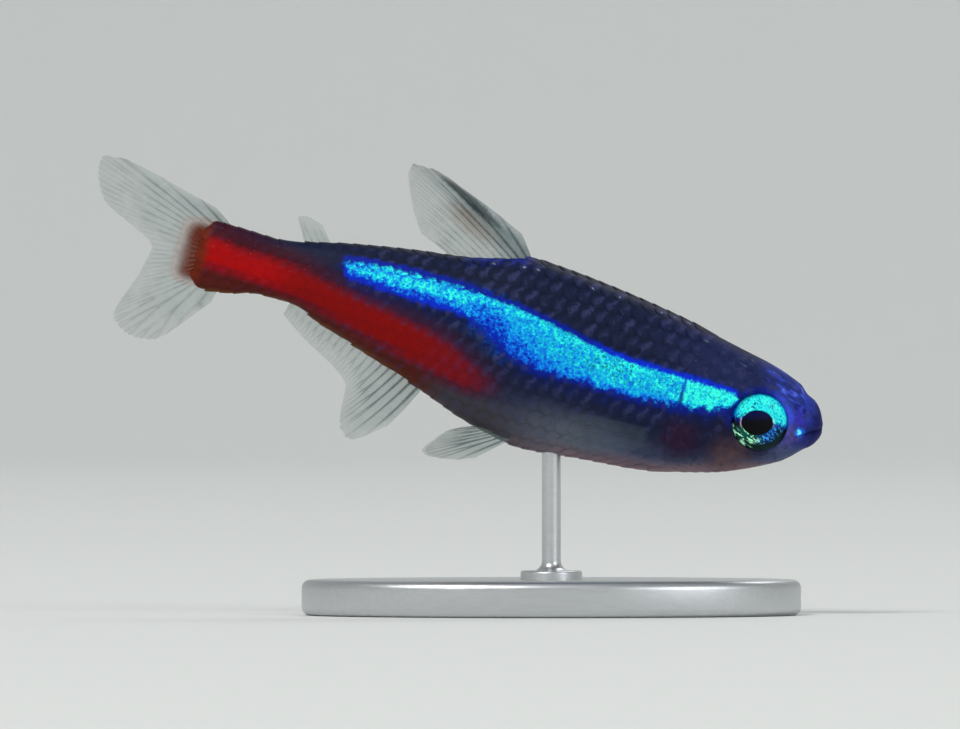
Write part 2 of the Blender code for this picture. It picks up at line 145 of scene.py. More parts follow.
# Fin margins, from the first ray to the last: place among the rays, station, height
DORSAL_MARGIN = (
    (0.00, 0.466, 0.1690),
    (0.08, 0.390, 0.2010),
    (0.16, 0.305, 0.2285),
    (0.26, 0.275, 0.2280),
    (0.40, 0.271, 0.2130),
    (0.55, 0.279, 0.1900),
    (0.72, 0.293, 0.1600),
    (1.00, 0.317, 0.1260),
)
ADIPOSE_MARGIN = (
    (0.00, 0.163, 0.0975),
    (0.40, 0.138, 0.1035),
    (0.75, 0.124, 0.1000),
    (1.00, 0.132, 0.0870),
)
ANAL_MARGIN = (
    (0.00, 0.345, -0.1790),
    (0.05, 0.298, -0.2140),
    (0.14, 0.277, -0.1990),
    (0.24, 0.270, -0.1690),
    (0.35, 0.268, -0.1370),
    (0.51, 0.242, -0.1120),
    (0.70, 0.201, -0.0900),
    (0.88, 0.166, -0.0690),
    (1.00, 0.144, -0.0530),
)
CAUDAL_ROOT = (
    (0.00, 0.030, 0.0560),
    (0.05, 0.008, 0.0530),
    (0.10, 0.000, 0.0460),
    (0.50, -0.002, 0.0040),
    (0.88, 0.000, -0.0400),
    (0.94, 0.008, -0.0460),
    (1.00, 0.034, -0.0470),
)
CAUDAL_MARGIN = (
    (0.00, -0.002, 0.0780),
    (0.04, -0.050, 0.0890),
    (0.12, -0.165, 0.1130),
    (0.17, -0.196, 0.1090),
    (0.22, -0.201, 0.0930),
    (0.34, -0.180, 0.0460),
    (0.51, -0.083, -0.0110),
    (0.62, -0.090, -0.0500),
    (0.76, -0.108, -0.1030),
    (0.82, -0.114, -0.1240),
    (0.87, -0.100, -0.1420),
    (0.91, -0.072, -0.1515),
    (0.94, -0.046, -0.1480),
    (1.00, 0.028, -0.0680),
)
PELVIC_MARGIN = (
    (0.00, 0.490, -0.1890),
    (0.12, 0.450, -0.2010),
    (0.24, 0.424, -0.2040),
    (0.36, 0.411, -0.1985),
    (0.55, 0.419, -0.1840),
    (0.80, 0.438, -0.1600),
    (1.00, 0.458, -0.1480),
)
PECTORAL_MARGIN = (
    (0.00, 0.640, -0.0730),
    (0.12, 0.605, -0.0790),
    (0.28, 0.592, -0.0930),
    (0.48, 0.600, -0.1130),
    (0.72, 0.632, -0.1300),
    (1.00, 0.690, -0.1230),
)

# Markings along the body: station, height
STRIPE_TOP = (
    (0.205, 0.0490), (0.225, 0.0560), (0.250, 0.0600), (0.300, 0.0629), (0.400, 0.0640), (0.450, 0.0600),
    (0.500, 0.0548), (0.550, 0.0462), (0.600, 0.0362), (0.650, 0.0262), (0.700, 0.0222), (0.750, 0.0213),
    (0.800, 0.0210), (0.840, 0.0200), (0.853, 0.0190), (0.861, 0.0140),
)
STRIPE_BOTTOM = (
    (0.205, 0.0480), (0.225, 0.0365), (0.250, 0.0310), (0.350, 0.0290), (0.400, 0.0265), (0.425, 0.0220),
    (0.450, 0.0080), (0.475, -0.0080), (0.500, -0.0215), (0.550, -0.0310), (0.600, -0.0300), (0.700, -0.0310),
    (0.750, -0.0265), (0.800, -0.0215), (0.830, -0.0165), (0.846, -0.0080), (0.856, 0.0030),
    (0.861, 0.0120),
)
RED_TOP = (
    (-0.060, 0.034), (0.020, 0.0300), (0.050, 0.0235), (0.100, 0.0235), (0.150, 0.0200), (0.200, 0.0100),
    (0.250, 0.0010), (0.300, -0.0060), (0.350, -0.0160), (0.400, -0.0260), (0.440, -0.0460),
    (0.470, -0.0580), (0.500, -0.0660),
)
RED_BOTTOM = (
    (-0.060, -0.014), (0.020, -0.0130), (0.050, -0.0125), (0.100, -0.0165), (0.150, -0.0225),
    (0.200, -0.0340), (0.250, -0.0460), (0.300, -0.0570), (0.350, -0.0690), (0.400, -0.0790),
    (0.440, -0.0870), (0.470, -0.0890), (0.500, -0.0860),
)
BELLY_LINE = tuple((station, belly) for station, _, belly, _ in STATIONS)
BACK_LINE = tuple((station, back) for station, back, _, _ in STATIONS)


def srgb(red, green, blue):
    """Scene-linear colour from the 0 to 255 values of a screen colour."""
    shares = (value / 255.0 for value in (red, green, blue))
    return tuple(v / 12.92 if v <= 0.04045 else ((v + 0.055) / 1.055) ** 2.4 for v in shares)


# Curves of the body

def smooth_between(table, at):
    """The values of a table at a place, on curves that never swing past its rows."""
    last = len(table) - 1
    place = next((i for i in range(last) if at < table[i + 1][0]), last - 1)
    span = table[place + 1][0] - table[place][0]
    t = (at - table[place][0]) / span
    values = []
    for column in range(1, len(table[0])):
        start, end = (table[i][column] for i in (place, place + 1))
        leave, arrive = (slope_at(table, i, column) * span for i in (place, place + 1))
        values.append(
            (2 * t**3 - 3 * t**2 + 1) * start
            + (t**3 - 2 * t**2 + t) * leave
            + (3 * t**2 - 2 * t**3) * end
            + (t**3 - t**2) * arrive
        )
    return values


@lru_cache(maxsize=None)
def slope_at(table, row, column):
    """The slope of the curve through a table at one row: flat where the values turn back."""
    def chord(low):
        rise = table[low + 1][column] - table[low][column]
        return rise / (table[low + 1][0] - table[low][0])

    if row == 0:
        return chord(0)
    if row == len(table) - 1:
        return chord(row - 1)
    before, after = chord(row - 1), chord(row)
    return 2 * before * after / (before + after) if before * after > 0 else 0.0


def smoothstep(low, high, value):
    t = min(max((value - low) / (high - low), 0.0), 1.0)
    return t * t * (3 - 2 * t)


def bump(value, centre, width):
    """A smooth hump of height 1."""
    return math.exp(-(((value - centre) / width) ** 2))


def snout_share(station):
    """0 along the body, rising to 1 at the snout's tip."""
    return min(max((station - SNOUT_ROUND_FROM) / (SNOUT_TIP - SNOUT_ROUND_FROM), 0.0), 1.0)


@lru_cache(maxsize=None)
def section(station):
    """Height of the back, depth of the belly and half the width at a station."""
    station = min(max(station, TAIL_END), SNOUT_TIP)
    tail_share = max(0.0, (TAIL_ROUND_TO - station) / (TAIL_ROUND_TO - TAIL_END))
    rounding = math.sqrt(1.0 - snout_share(station) ** 2) * math.sqrt(1.0 - 0.35 * tail_share**2)
    return [size * rounding for size in smooth_between(STATIONS, station)]


@lru_cache(maxsize=None)
def keel(station):
    return smoothstep(BELLY_KEEL_STATION + 0.08, BELLY_KEEL_STATION - 0.08, station)


def fullness(station, height):
    """How the sides swell between back and belly: under 1 full, over 1 drawn in to a keel."""
    return 0.92 + 0.2 * (keel(station) if height < 0 else 0.0)


def skin_point(station, angle):
    """Side and height of the body: the angle is 0 at the back and half a turn at the belly."""
    back, belly, half_width = section(station)
    side, up = math.sin(angle), math.cos(angle)
    spread = math.copysign(abs(side) ** fullness(station, up), side)
    return half_width * spread, (back if up > 0 else belly) * up


def side_of(station, height):
    """Half the body's width at a station and a height."""
    back, belly, half_width = section(station)
    rise = min(abs(height) / (back if height > 0 else belly), 0.999)
    return half_width * math.sqrt(1.0 - rise * rise) ** fullness(station, height)


def belly_at(station, side):
    """Height of the skin under the body at a distance from its middle."""
    _, belly, half_width = section(station)
    across = (side / half_width) ** (1.0 / fullness(station, -1.0))
    return -belly * math.sqrt(1.0 - across * across)


def gill_edge(height):
    return GILL_STATION + GILL_CURVE * (height - GILL_HEIGHT) ** 2


def bent(station, side, height):
    """A point of the straight fish, in shares, carried into the bent fish, in metres."""
    behind = max(0.0, BEND_FROM - station)
    shift = BEND_AMOUNT * behind**BEND_POWER
    turn = math.atan(BEND_AMOUNT * BEND_POWER * behind ** (BEND_POWER - 1.0))
    along = station + side * math.sin(turn)
    return SL * Vector((along, shift + side * math.cos(turn), height))


def middle(station, height):
    """A point in the fish's middle plane."""
    return bent(station, 0.0, height)


def over_body(station, angle, lift):
    """A point over the body's surface, with the lift in metres."""
    span, sweep = 0.003, 0.012
    ahead = bent(station + span, *skin_point(station + span, angle))
    behind = bent(station - span, *skin_point(station - span, angle))
    on_one = bent(station, *skin_point(station, angle + sweep))
    on_other = bent(station, *skin_point(station, angle - sweep))
    normal = (ahead - behind).cross(on_one - on_other).normalized()
    return bent(station, *skin_point(station, angle)) + normal * lift


FISH_TURN = Matrix.Rotation(PITCH, 3, "Y")
ROD_FOOT = FISH_TURN @ middle(ROD_STATION, -section(ROD_STATION)[1])
FISH_PLACE = Vector((-ROD_FOOT.x, 0.0, TAIL_ROOT_HEIGHT))
FISH_MATRIX = Matrix.Translation(FISH_PLACE) @ FISH_TURN.to_4x4()
BELLY_OVER_ROD = FISH_MATRIX @ middle(ROD_STATION, -section(ROD_STATION)[1])


# Settings that a user would change

def length(name, text, value):
    return bpy.props.FloatProperty(
        name=name, description=text, default=value, min=0.0, precision=5, unit="LENGTH"
    )


def share(name, text, value):
    return bpy.props.FloatProperty(
        name=name, description=text, default=value, min=0.0, max=1.0, subtype="FACTOR"
    )


def colour(name, text, *rgb):
    return bpy.props.FloatVectorProperty(
        name=name, description=text, default=srgb(*rgb), size=3, min=0.0, max=1.0, subtype="COLOR"
    )


def count(name, text, value):
    return bpy.props.IntProperty(name=name, description=text, default=value, min=4)


class TetraMarkings(bpy.types.PropertyGroup):
    back: colour("Back", "Navy of the back", 20, 29, 57)
    nape: colour("Nape", "Bluer navy from the nape to the forehead", 29, 38, 80)
    ridge: colour("Ridge", "The darkest line along the back", 11, 15, 34)
    # Laid on the scales as a painted sheen, and on the bare skin as a lavender mottle
    patch_and_sheen: colour("Patch", "Lavender patch on each scale of the back", 56, 60, 102)
    # Painted highlights: tiny pale dots and streaks
    glint: colour("Glint", "Tiny pale dots beside the ridge", 150, 168, 180)
    flank: colour("Flank", "Dark blue grey under the stripe", 22, 30, 60)
    belly: colour("Belly", "Slate grey of the lower side", 98, 104, 118)
    breast: colour("Breast", "Pinkish brown along the lower edge", 146, 118, 122)
    dun: colour("Dun", "Brown grey between the red and the breast", 70, 66, 70)
    cover: colour("Gill cover", "Dark violet navy of the gill cover", 26, 27, 56)
    plum: colour("Plum", "Maroon patch low on the gill cover", 52, 20, 44)
    cheek: colour("Cheek", "Brown under the eye", 108, 80, 76)
    snout: colour("Snout", "Blue violet of the snout", 33, 50, 142)
    lips: colour("Lips", "Dark blue of the lips", 22, 20, 80)
    brow: colour("Brow", "Blue streaks over the forehead", 66, 92, 240)
    violet: colour("Violet", "Bright violet before the eye", 60, 52, 186)
    lavender: colour("Lavender", "Pale patch under the violet", 100, 90, 166)
    jaw: colour("Jaw", "Slate lavender of the lower jaw", 76, 86, 126)
    night: colour("Night", "Blue shade round the stripe", 3, 26, 94)
    deep: colour("Stripe's rim", "Deep blue line round the stripe", 0, 30, 158)
    cobalt: colour("Cobalt", "The line where it shines, near the head and under the rear", 0, 42, 204)
    azure: colour("Azure", "The stripe's lower part", 4, 100, 214)
    lagoon: colour("Lagoon", "The stripe's middle shade", 10, 160, 210)
    cyan: colour("Cyan", "The stripe's bright shade", 24, 202, 216)
    neon: colour("Neon", "The stripe's brightest grains", 50, 236, 214)
    teal: colour("Teal", "Dark gaps between the bright grains", 0, 72, 104)
    red: colour("Red", "Red of the tail half", 132, 6, 5)
    scarlet: colour("Scarlet", "Brighter red of the tail stem", 166, 3, 6)
    ember: colour("Ember", "Brown orange at the tail fin's root", 108, 36, 12)
    maroon: colour("Maroon", "Dark red over the red of the tail stem", 70, 6, 18)
    wine: colour("Wine", "Dark purple between the red and the stripe", 56, 24, 52)
    umber: colour("Umber", "Dark brown under the red", 86, 22, 8)
    rust: colour("Rust", "Orange brown line along the lower edge", 104, 60, 20)
    speck: colour("Speck", "The bright speck beside the mouth", 110, 226, 240)


class TetraEyes(bpy.types.PropertyGroup):
    dusk: colour("Dusk", "Blue black of the iris behind the bright crescent", 5, 8, 34)
    moss: colour("Moss", "Green black of the iris's lower edge", 3, 32, 32)
    green: colour("Green", "Haze under the pupil, towards the tail", 6, 96, 84)
    blue: colour("Blue", "Haze under the pupil, towards the snout", 4, 74, 168)
    mint: colour("Mint", "Dashes under the pupil, towards the tail", 170, 252, 206)
    sky: colour("Sky", "Dashes under the pupil, towards the snout", 48, 160, 246)
    ring: colour("Ring", "Pale line at either side of the pupil", 196, 184, 200)
    pupil: colour("Pupil", "Black of the pupil", 0, 0, 3)
    pupil_top: colour("Pupil's top", "Blue shade high in the pupil", 0, 10, 72)


class TetraSkin(bpy.types.PropertyGroup):
    around: count("Around", "Points round the body", 176)
    rings: count("Rings", "Rings along the body", 300)
    coat_depth: length("Coat depth", "How far the skin lies under the scales' tops", 0.00008)
    cover_rise: length("Gill cover", "How far the gill cover's edge stands out", 0.00011)
    lip_rise: length("Lips", "How far the lips swell", 0.00004)
    mouth_depth: length("Mouth", "Depth of the line of the mouth", 0.00012)


class TetraScales(bpy.types.PropertyGroup):
    pitch: length("Pitch", "From one scale to the next along the body", 0.00061)
    row_pitch: length("Row pitch", "From one row to the next where the body is deepest", 0.00072)
    lift: length("Lift", "How far a scale's rear edge stands over its root", 0.00006)
    thickness: length("Thickness", "Thickness of a scale", 0.000012)


class TetraFins(bpy.types.PropertyGroup):
    membrane: length("Membrane", "Thickness of the clear membrane", 0.000035)
    ray: length("Ray", "Thickness of a ray at its root", 0.000105)
    clear: share("Membrane's cover", "How much the membrane hides", 0.22)
    dusk: share("Ray's cover", "How much a ray hides", 0.86)
    glass: colour("Membrane", "Grey green of the membrane", 128, 150, 146)
    bone: colour("Rays", "Dusky rays", 46, 58, 62)
    pale_bone: colour("Pale rays", "Flecks of a paler grey along the rays", 84, 100, 98)
    cloud: colour("Cloud", "Blue grey between the foremost rays", 72, 98, 108)
    stain: colour("Stain", "Brown in the middle of the dorsal fin", 126, 84, 52)
    streak: colour("Streak", "Dark streaks near the dorsal fin's front edge", 26, 34, 38)


class TetraStand(bpy.types.PropertyGroup):
    base_length: length("Base length", "Length of the oval base", 0.021)
    base_width: length("Base width", "Width of the oval base", 0.0125)
    base_height: length("Base height", "Thickness of the base", 0.0015)
    edge: length("Edge", "Rounding of the base's edges", 0.00035)
    steel: colour("Steel", "Satin steel", 214, 216, 219)


class TetraStage(bpy.types.PropertyGroup):
    floor: colour("Floor", "The pale floor and backdrop", 226, 228, 226)
    width_seen: length("Width seen", "Width of the picture at the fish", 0.04036)
    distance: length("Distance", "From the camera to the fish", 0.50)


SETTINGS = {
    "tetra_markings": TetraMarkings,
    "tetra_skin": TetraSkin,
    "tetra_scales": TetraScales,
    "tetra_eyes": TetraEyes,
    "tetra_fins": TetraFins,
    "tetra_stand": TetraStand,
    "tetra_stage": TetraStage,
}


# Mesh helpers

def finish_piece(name, bm, paint, slot=None, nodes=(), smooth_angle=50.0, fish=True):
    """Makes an object of a mesh: in the fish it is carried to its place, and it rides on the body."""
    if fish:
        bmesh.ops.transform(bm, matrix=FISH_MATRIX, verts=bm.verts)
    mesh = bpy.data.meshes.new(name)
    bm.to_mesh(mesh)
    bm.free()
    mesh.materials.append(paint)
    mesh.shade_smooth()
    mesh.set_sharp_from_angle(angle=math.radians(smooth_angle))
    made = bpy.data.objects.new(name, mesh)
    bpy.context.scene.collection.objects.link(made)
    if slot:
        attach(made, "root")
    if nodes:
        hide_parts(*nodes)
    return made


def face_outwards(bm):
    bm.normal_update()
    bmesh.ops.recalc_face_normals(bm, faces=bm.faces)


def turned(profile, steps, merge=1e-7):
    """A mesh turned about the upright axis from a profile of radii and heights."""
    bm = bmesh.new()
    line = [bm.verts.new((radius, 0.0, height)) for radius, height in profile]
    edges = [bm.edges.new(pair) for pair in zip(line, line[1:])]
    bmesh.ops.spin(
        bm, geom=line + edges, cent=(0, 0, 0), axis=(0, 0, 1), dvec=(0, 0, 0),
        angle=2 * math.pi, steps=steps, use_merge=True, use_normal_flip=False, use_duplicate=False,
    )
    bmesh.ops.remove_doubles(bm, verts=bm.verts, dist=merge)
    face_outwards(bm)
    return bm


# Shader helpers

class Wire:
    """A shader socket that takes part in sums. Each sum adds its Math node."""

    def __init__(self, paint, socket):
        self.paint = paint
        self.socket = socket

    def maths(self, operation, *values):
        return self.paint.node("ShaderNodeMath", {"operation": operation}, dict(enumerate(values)))

    def __add__(self, other):
        return self.maths("ADD", self, other)

    def __radd__(self, other):
        return self.maths("ADD", other, self)

    def __sub__(self, other):
        return self.maths("SUBTRACT", self, other)

    def __rsub__(self, other):
        return self.maths("SUBTRACT", other, self)

    def __mul__(self, other):
        return self.maths("MULTIPLY", self, other)

    def __rmul__(self, other):
        return self.maths("MULTIPLY", other, self)

    def __truediv__(self, other):
        return self.maths("DIVIDE", self, other)

    def __pow__(self, other):
        return self.maths("POWER", self, other)

    def __abs__(self):
        return self.maths("ABSOLUTE", self)

    def least(self, other):
        return self.maths("MINIMUM", self, other)

    def most(self, other):
        return self.maths("MAXIMUM", self, other)

    def fraction(self):
        return self.maths("FRACT", self)

    def step(self, low, high):
        """0 at low, 1 at high, smooth between; low may be the greater."""
        settings = {"interpolation_type": "SMOOTHSTEP"}
        return self.paint.node("ShaderNodeMapRange", settings, {0: self, 1: low, 2: high})


def distance(x, y):
    """How far a place lies from a middle, from its two wires across and up."""
    return (x * x + y * y) ** 0.5


class Paint:
    """A material in the making."""

    def __init__(self, name):
        self.material = bpy.data.materials.new(name)
        self.material.use_nodes = True
        self.tree = self.material.node_tree
        self.shader = self.tree.nodes["Principled BSDF"]

    def node(self, kind, settings, inputs, output=0):
        """Any node: its type, its settings, and the values or wires of its sockets."""
        made = self.tree.nodes.new(kind)
        for key, value in settings.items():
            if key == "stops":
                self.set_stops(made.color_ramp, value)
            else:
                setattr(made, key, value)
        for key, value in inputs.items():
            self.feed(made.inputs[key], value)
        return Wire(self, made.outputs[output])

    def feed(self, socket, value):
        if isinstance(value, Wire):
            self.tree.links.new(value.socket, socket)
        elif socket.type == "RGBA":
            socket.default_value = (*value, 1.0)
        else:
            socket.default_value = value

    def set_stops(self, ramp, stops):
        while len(ramp.elements) < len(stops):
            ramp.elements.new(1.0)
        for element, (position, ink) in zip(ramp.elements, stops):
            element.position = position
            element.color = (*ink, 1.0)

    def surface(self, **sockets):
        """Feeds the Principled shader's sockets, named with underscores."""
        for key, value in sockets.items():
            self.feed(self.shader.inputs[key.replace("_", " ")], value)

    def curve(self, value, points):
        """The height of a smooth line through the points, over the value."""
        first, last = points[0][0], points[-1][0]
        low = min(height for _, height in points)
        high = max(height for _, height in points)
        stops = [((x - first) / (last - first), [(y - low) / (high - low)] * 3) for x, y in points]
        along = (value - first) * (1.0 / (last - first))
        return self.ramp(along, *stops) * (high - low) + low

    def ramp(self, value, *stops):
        """A colour from a row of colours, each at its place between 0 and 1."""
        return self.node("ShaderNodeValToRGB", {"stops": stops}, {0: value})

    def mix(self, factor, one, other):
        """From one colour to the other as the factor goes from 0 to 1."""
        return self.node("ShaderNodeMix", {"data_type": "RGBA"}, {0: factor, 6: one, 7: other}, 2)

    def scaled(self, vector, factor):
        return self.node("ShaderNodeVectorMath", {"operation": "SCALE"}, {0: vector, 3: factor})

    def stretched(self, vector, degrees, share):
        """The place drawn out along a slant in the picture, for streaks."""
        inputs = {"Vector": vector, "Rotation": (0.0, math.radians(degrees), 0.0), "Scale": (share, 1.0, 1.0)}
        return self.node("ShaderNodeMapping", {"vector_type": "TEXTURE"}, inputs)

    def noise(self, vector, scale, detail=2.0, roughness=0.5, distortion=0.0):
        inputs = {
            "Vector": vector, "Scale": scale, "Detail": detail, "Roughness": roughness,
            "Distortion": distortion,
        }
        return self.node("ShaderNodeTexNoise", {}, inputs, "Fac")

    def rough_normal(self, height, depth):
        return self.node("ShaderNodeBump", {}, {"Strength": 1.0, "Distance": depth, "Height": height})

    def attribute(self, name):
        """The three numbers of a mesh attribute."""
        found = self.node("ShaderNodeAttribute", {"attribute_name": name}, {}, "Vector")
        return [self.node("ShaderNodeSeparateXYZ", {}, {0: found}, axis) for axis in range(3)]


class FishPaint(Paint):
    """A material on the fish: it knows each point's station and height, in shares.

    place is the point itself in millimetres, for grains and flecks, and ink is the colour so far.
    """

    def __init__(self, name):
        super().__init__(name)
        self.look = bpy.context.scene.tetra_markings
        point = self.node("ShaderNodeTexCoord", {}, {}, "Object")
        local = self.node("ShaderNodeVectorMath", {"operation": "SUBTRACT"}, {0: point, 1: FISH_PLACE})
        self.station, self.height = (self.share_along(local, axis) for axis in (0, 2))
        self.place = self.scaled(local, MILLIMETRES)

    def share_along(self, local, axis):
        inputs = {0: local, 1: FISH_TURN.col[axis] / SL}
        return self.node("ShaderNodeVectorMath", {"operation": "DOT_PRODUCT"}, inputs, "Value")

    def grains(self, scale, detail, roughness, distortion=0.0):
        """Noise from 0 to 1 over the fish, with the scale in grains for each millimetre."""
        return self.noise(self.place, scale, detail, roughness, distortion)

    def lay(self, mask, ink):
        """Lays a colour over the ink through a mask."""
        self.ink = self.mix(mask, self.ink, ink)


class BodyPaint(FishPaint):
    """The body's colours, shared by skin and scales.

    s and h are the station and the height a little disturbed, up and down are shares of the way to
    the back and to the belly, and the numbers set against each are places in its own measure. glow is
    the part of the ink that shines, stripe is 1 in the stripe, and calm is 1 wherever the colours hide
    the scales' own.
    """

    def draw_markings(self, scale_middle=None):
        """Draws all of them. scale_middle is 1 in the middle of a scale and 0 round its rim."""
        soft = self.grains(0.9, 3.0, 0.55) - 0.5
        self.ragged = self.grains(2.7, 3.0, 0.6) - 0.5
        self.grain = self.grains(6.0, 2.0, 0.6) - 0.5
        self.rim = 0.0 if scale_middle is None else scale_middle - 0.5
        s = self.station + soft * 0.010
        h = self.height + soft * 0.004
        up = (self.height / self.curve(self.station, BACK_LINE)).most(0.0)
        down = (self.height / self.curve(self.station, BELLY_LINE) * -1.0).most(0.0)
        self.draw_trunk(s, h, up, down + soft * 0.16)
        self.draw_head(s, h, down)
        red = self.draw_red(s, h + self.ragged * 0.008 + self.rim * 0.004, down)
        line = self.draw_stripe(h)
        # Tiny pale dots over the upper body: painted glints
        speck = self.grains(13.0, 2.0, 0.5).step(0.70, 0.78) * self.height.step(0.0, 0.03)
        self.lay(speck * 0.35 * (1.0 - self.stripe), self.look.glint)
        lower, rear = down.step(0.20, 0.60), self.station.step(0.30, 0.18)
        self.calm = red.most(line).most(lower * 0.62).most(rear * 0.9)

    def draw_trunk(self, s, h, up, down):
        """Navy back, blue-grey flank, and a pale belly with a pinkish edge."""
        look = self.look
        self.ink = self.mix(s.step(0.66, 0.84), look.back, look.nape)
        self.lay(up.step(0.90, 1.0), look.ridge)
        under_fin = (up + self.grain * 0.4).step(0.86, 0.99) * s.step(0.38, 0.42) * s.step(0.51, 0.48)
        self.lay(under_fin * 0.70, look.deep)
        self.lay(h.step(0.016, -0.030), look.flank)
        belly = self.mix(s.step(0.62, 0.72) * 0.5, look.belly, look.jaw)
        self.lay((down - s.step(0.62, 0.76) * 0.17).step(0.34, 0.90) * s.step(0.44, 0.60), belly)
        pink = down.step(0.82, 1.0) * (s.step(0.46, 0.74) * 0.55 + 0.30)
        self.lay(pink * s.step(0.40, 0.50), look.breast)
        self.lay(s.step(0.62, 0.46) * down.step(0.50, 0.82) * 0.85, look.dun)

    def draw_head(self, s, h, down):
        """Dark gill cover, brown cheek, slate jaw, violet snout, and blue over the brow and the eye."""
        look, ragged = self.look, self.ragged

        def around(station, height, outer, inner):
            return distance(s - station, h - height).step(outer, inner)

        cover = s.step(0.762, 0.790) * h.step(0.010, -0.012) * down.step(0.94, 0.60)
        snout = (s - h * 0.30).step(0.922, 0.965) * h.step(-0.056, -0.034)
        jaw = h.step(-0.026, -0.044) * s.step(0.905, 0.950)
        for mask, solid, broken, ink in (
            (cover, 0.94, 0.3, look.cover),
            (around(0.787, -0.072, 0.048, 0.002), 0.70, 1.6, look.plum),
            (around(0.872, -0.088, 0.052, 0.010), 0.60, 1.4, look.cheek),
            (snout, 0.72, 1.2, look.snout),
            (jaw, 0.80, 0.8, look.jaw),
            (around(0.950, -0.018, 0.028, 0.008), 0.60, 1.8, look.lavender),
            (around(0.958, 0.010, 0.024, 0.006), 0.66, 2.2, look.violet),
        ):
            self.lay(mask * (solid + ragged * broken), ink)

        streak = self.noise(self.stretched(self.place, 34.0, 3.2), 3.4, 3.0, 0.6, 0.6)
        brow = (s + h * 0.5).step(0.905, 0.945) * h.step(0.000, 0.024)
        self.lay(brow * (0.16 + streak.step(0.50, 0.66) * 0.62), look.brow)
        self.lay(brow * streak.step(0.46, 0.34) * 0.70, look.nape)
        # Pale streaks over the nape: painted glints
        nape_glints = s.step(0.835, 0.875) * h.step(0.030, 0.050) * streak.step(0.60, 0.72)
        self.lay(nape_glints * 0.45, look.glint)
        orbit = around(EYE_STATION, EYE_HEIGHT, EYE_RADIUS * 1.34, EYE_RADIUS * 1.02)
        upper = (h - EYE_HEIGHT - (s - EYE_STATION) * 0.25).step(-0.017, 0.010)
        halo = self.mix(s.step(EYE_STATION, EYE_STATION + 0.03), look.deep, look.brow)
        self.lay(orbit * upper * (0.84 + ragged), halo)
        gape = (s + ragged * 0.020).step(0.970, 0.994) * h.step(-0.050, -0.030)
        self.lay(gape * 0.75, look.lips)

    def draw_red(self, s, h, down):
        """The red from the belly back to the tail: dark red and purple over it, brown and rust under it."""
        look = self.look
        top, bottom = self.curve(s, RED_TOP), self.curve(s, RED_BOTTOM)
        reach = 0.062 - s.step(0.02, 0.12) * 0.020 - s.step(0.14, 0.30) * 0.004
        over = h.step(top + reach, top + 0.006) * s.step(0.530, 0.430)
        over = over * h.step(bottom - 0.020, bottom + 0.004)
        self.lay(over * 0.90, self.mix(s.step(0.12, 0.28), look.maroon, look.wine))
        under = h.step(bottom + 0.004, bottom - 0.010) * s.step(0.430, 0.360)
        self.lay(under * 0.92, look.umber)
        red = h.step(top + 0.013, top - 0.010) * h.step(bottom - 0.012, bottom + 0.012)
        red = red * (1.0 - s.step(0.34, 0.44) * 0.22) * s.step(0.510, 0.430)
        self.lay(red, self.mix(s.step(0.17, 0.09), look.red, look.scarlet))
        self.lay((s + abs(h - 0.006) * 0.12).step(0.012, -0.006) * 0.95, look.ember)
        edge = down.step(0.84, 0.99) * s.step(0.42, 0.32)
        self.lay(edge * 0.85, look.rust)
        return red.most(over * 0.75)

    def draw_stripe(self, h):
        """A deep blue line with a ragged lower edge round grains from dark teal to neon.

        Behind the middle each scale is a bright blob of its own, and ahead of it the grains fill the stripe.
        """
        look, station, ragged, grain = self.look, self.station, self.ragged, self.grain
        blob = self.rim * station.step(0.56, 0.43)
        top = self.curve(station, STRIPE_TOP) + grain * 0.011 + blob * 0.003
        bottom = self.curve(station, STRIPE_BOTTOM) + ragged * 0.034 + grain * 0.012
        ends = (station + grain * 0.012).step(0.204, 0.222) * station.step(0.866, 0.858)
        rear = station.step(0.460, 0.405)
        full = station.step(0.50, 0.66)
        head = station.step(0.755, 0.795)

        shade = h.step(bottom - 0.030, bottom - 0.003) * h.step(top + 0.015, top + 0.002)
        shade = shade * station.step(0.19, 0.24) * station.step(0.95, 0.86)
        dusk = station.step(0.405, 0.440) * station.step(0.510, 0.470) * grain.step(-0.16, 0.14)
        self.lay(shade * 0.80, self.mix(dusk * 0.55, look.night, look.azure))

        low = h.step(top - 0.006, bottom + 0.004)
        line = h.step(bottom - 0.0125, bottom - 0.002) * h.step(top + 0.0100, top + 0.003) * ends
        line = line * (1.0 - low * (0.34 - ragged * 2.0) * (1.0 - rear))
        shine = low * rear * 0.8 + station.step(0.59, 0.67) * (1.0 - low)
        self.lay(line * 0.95, self.mix(shine, look.deep, look.cobalt))

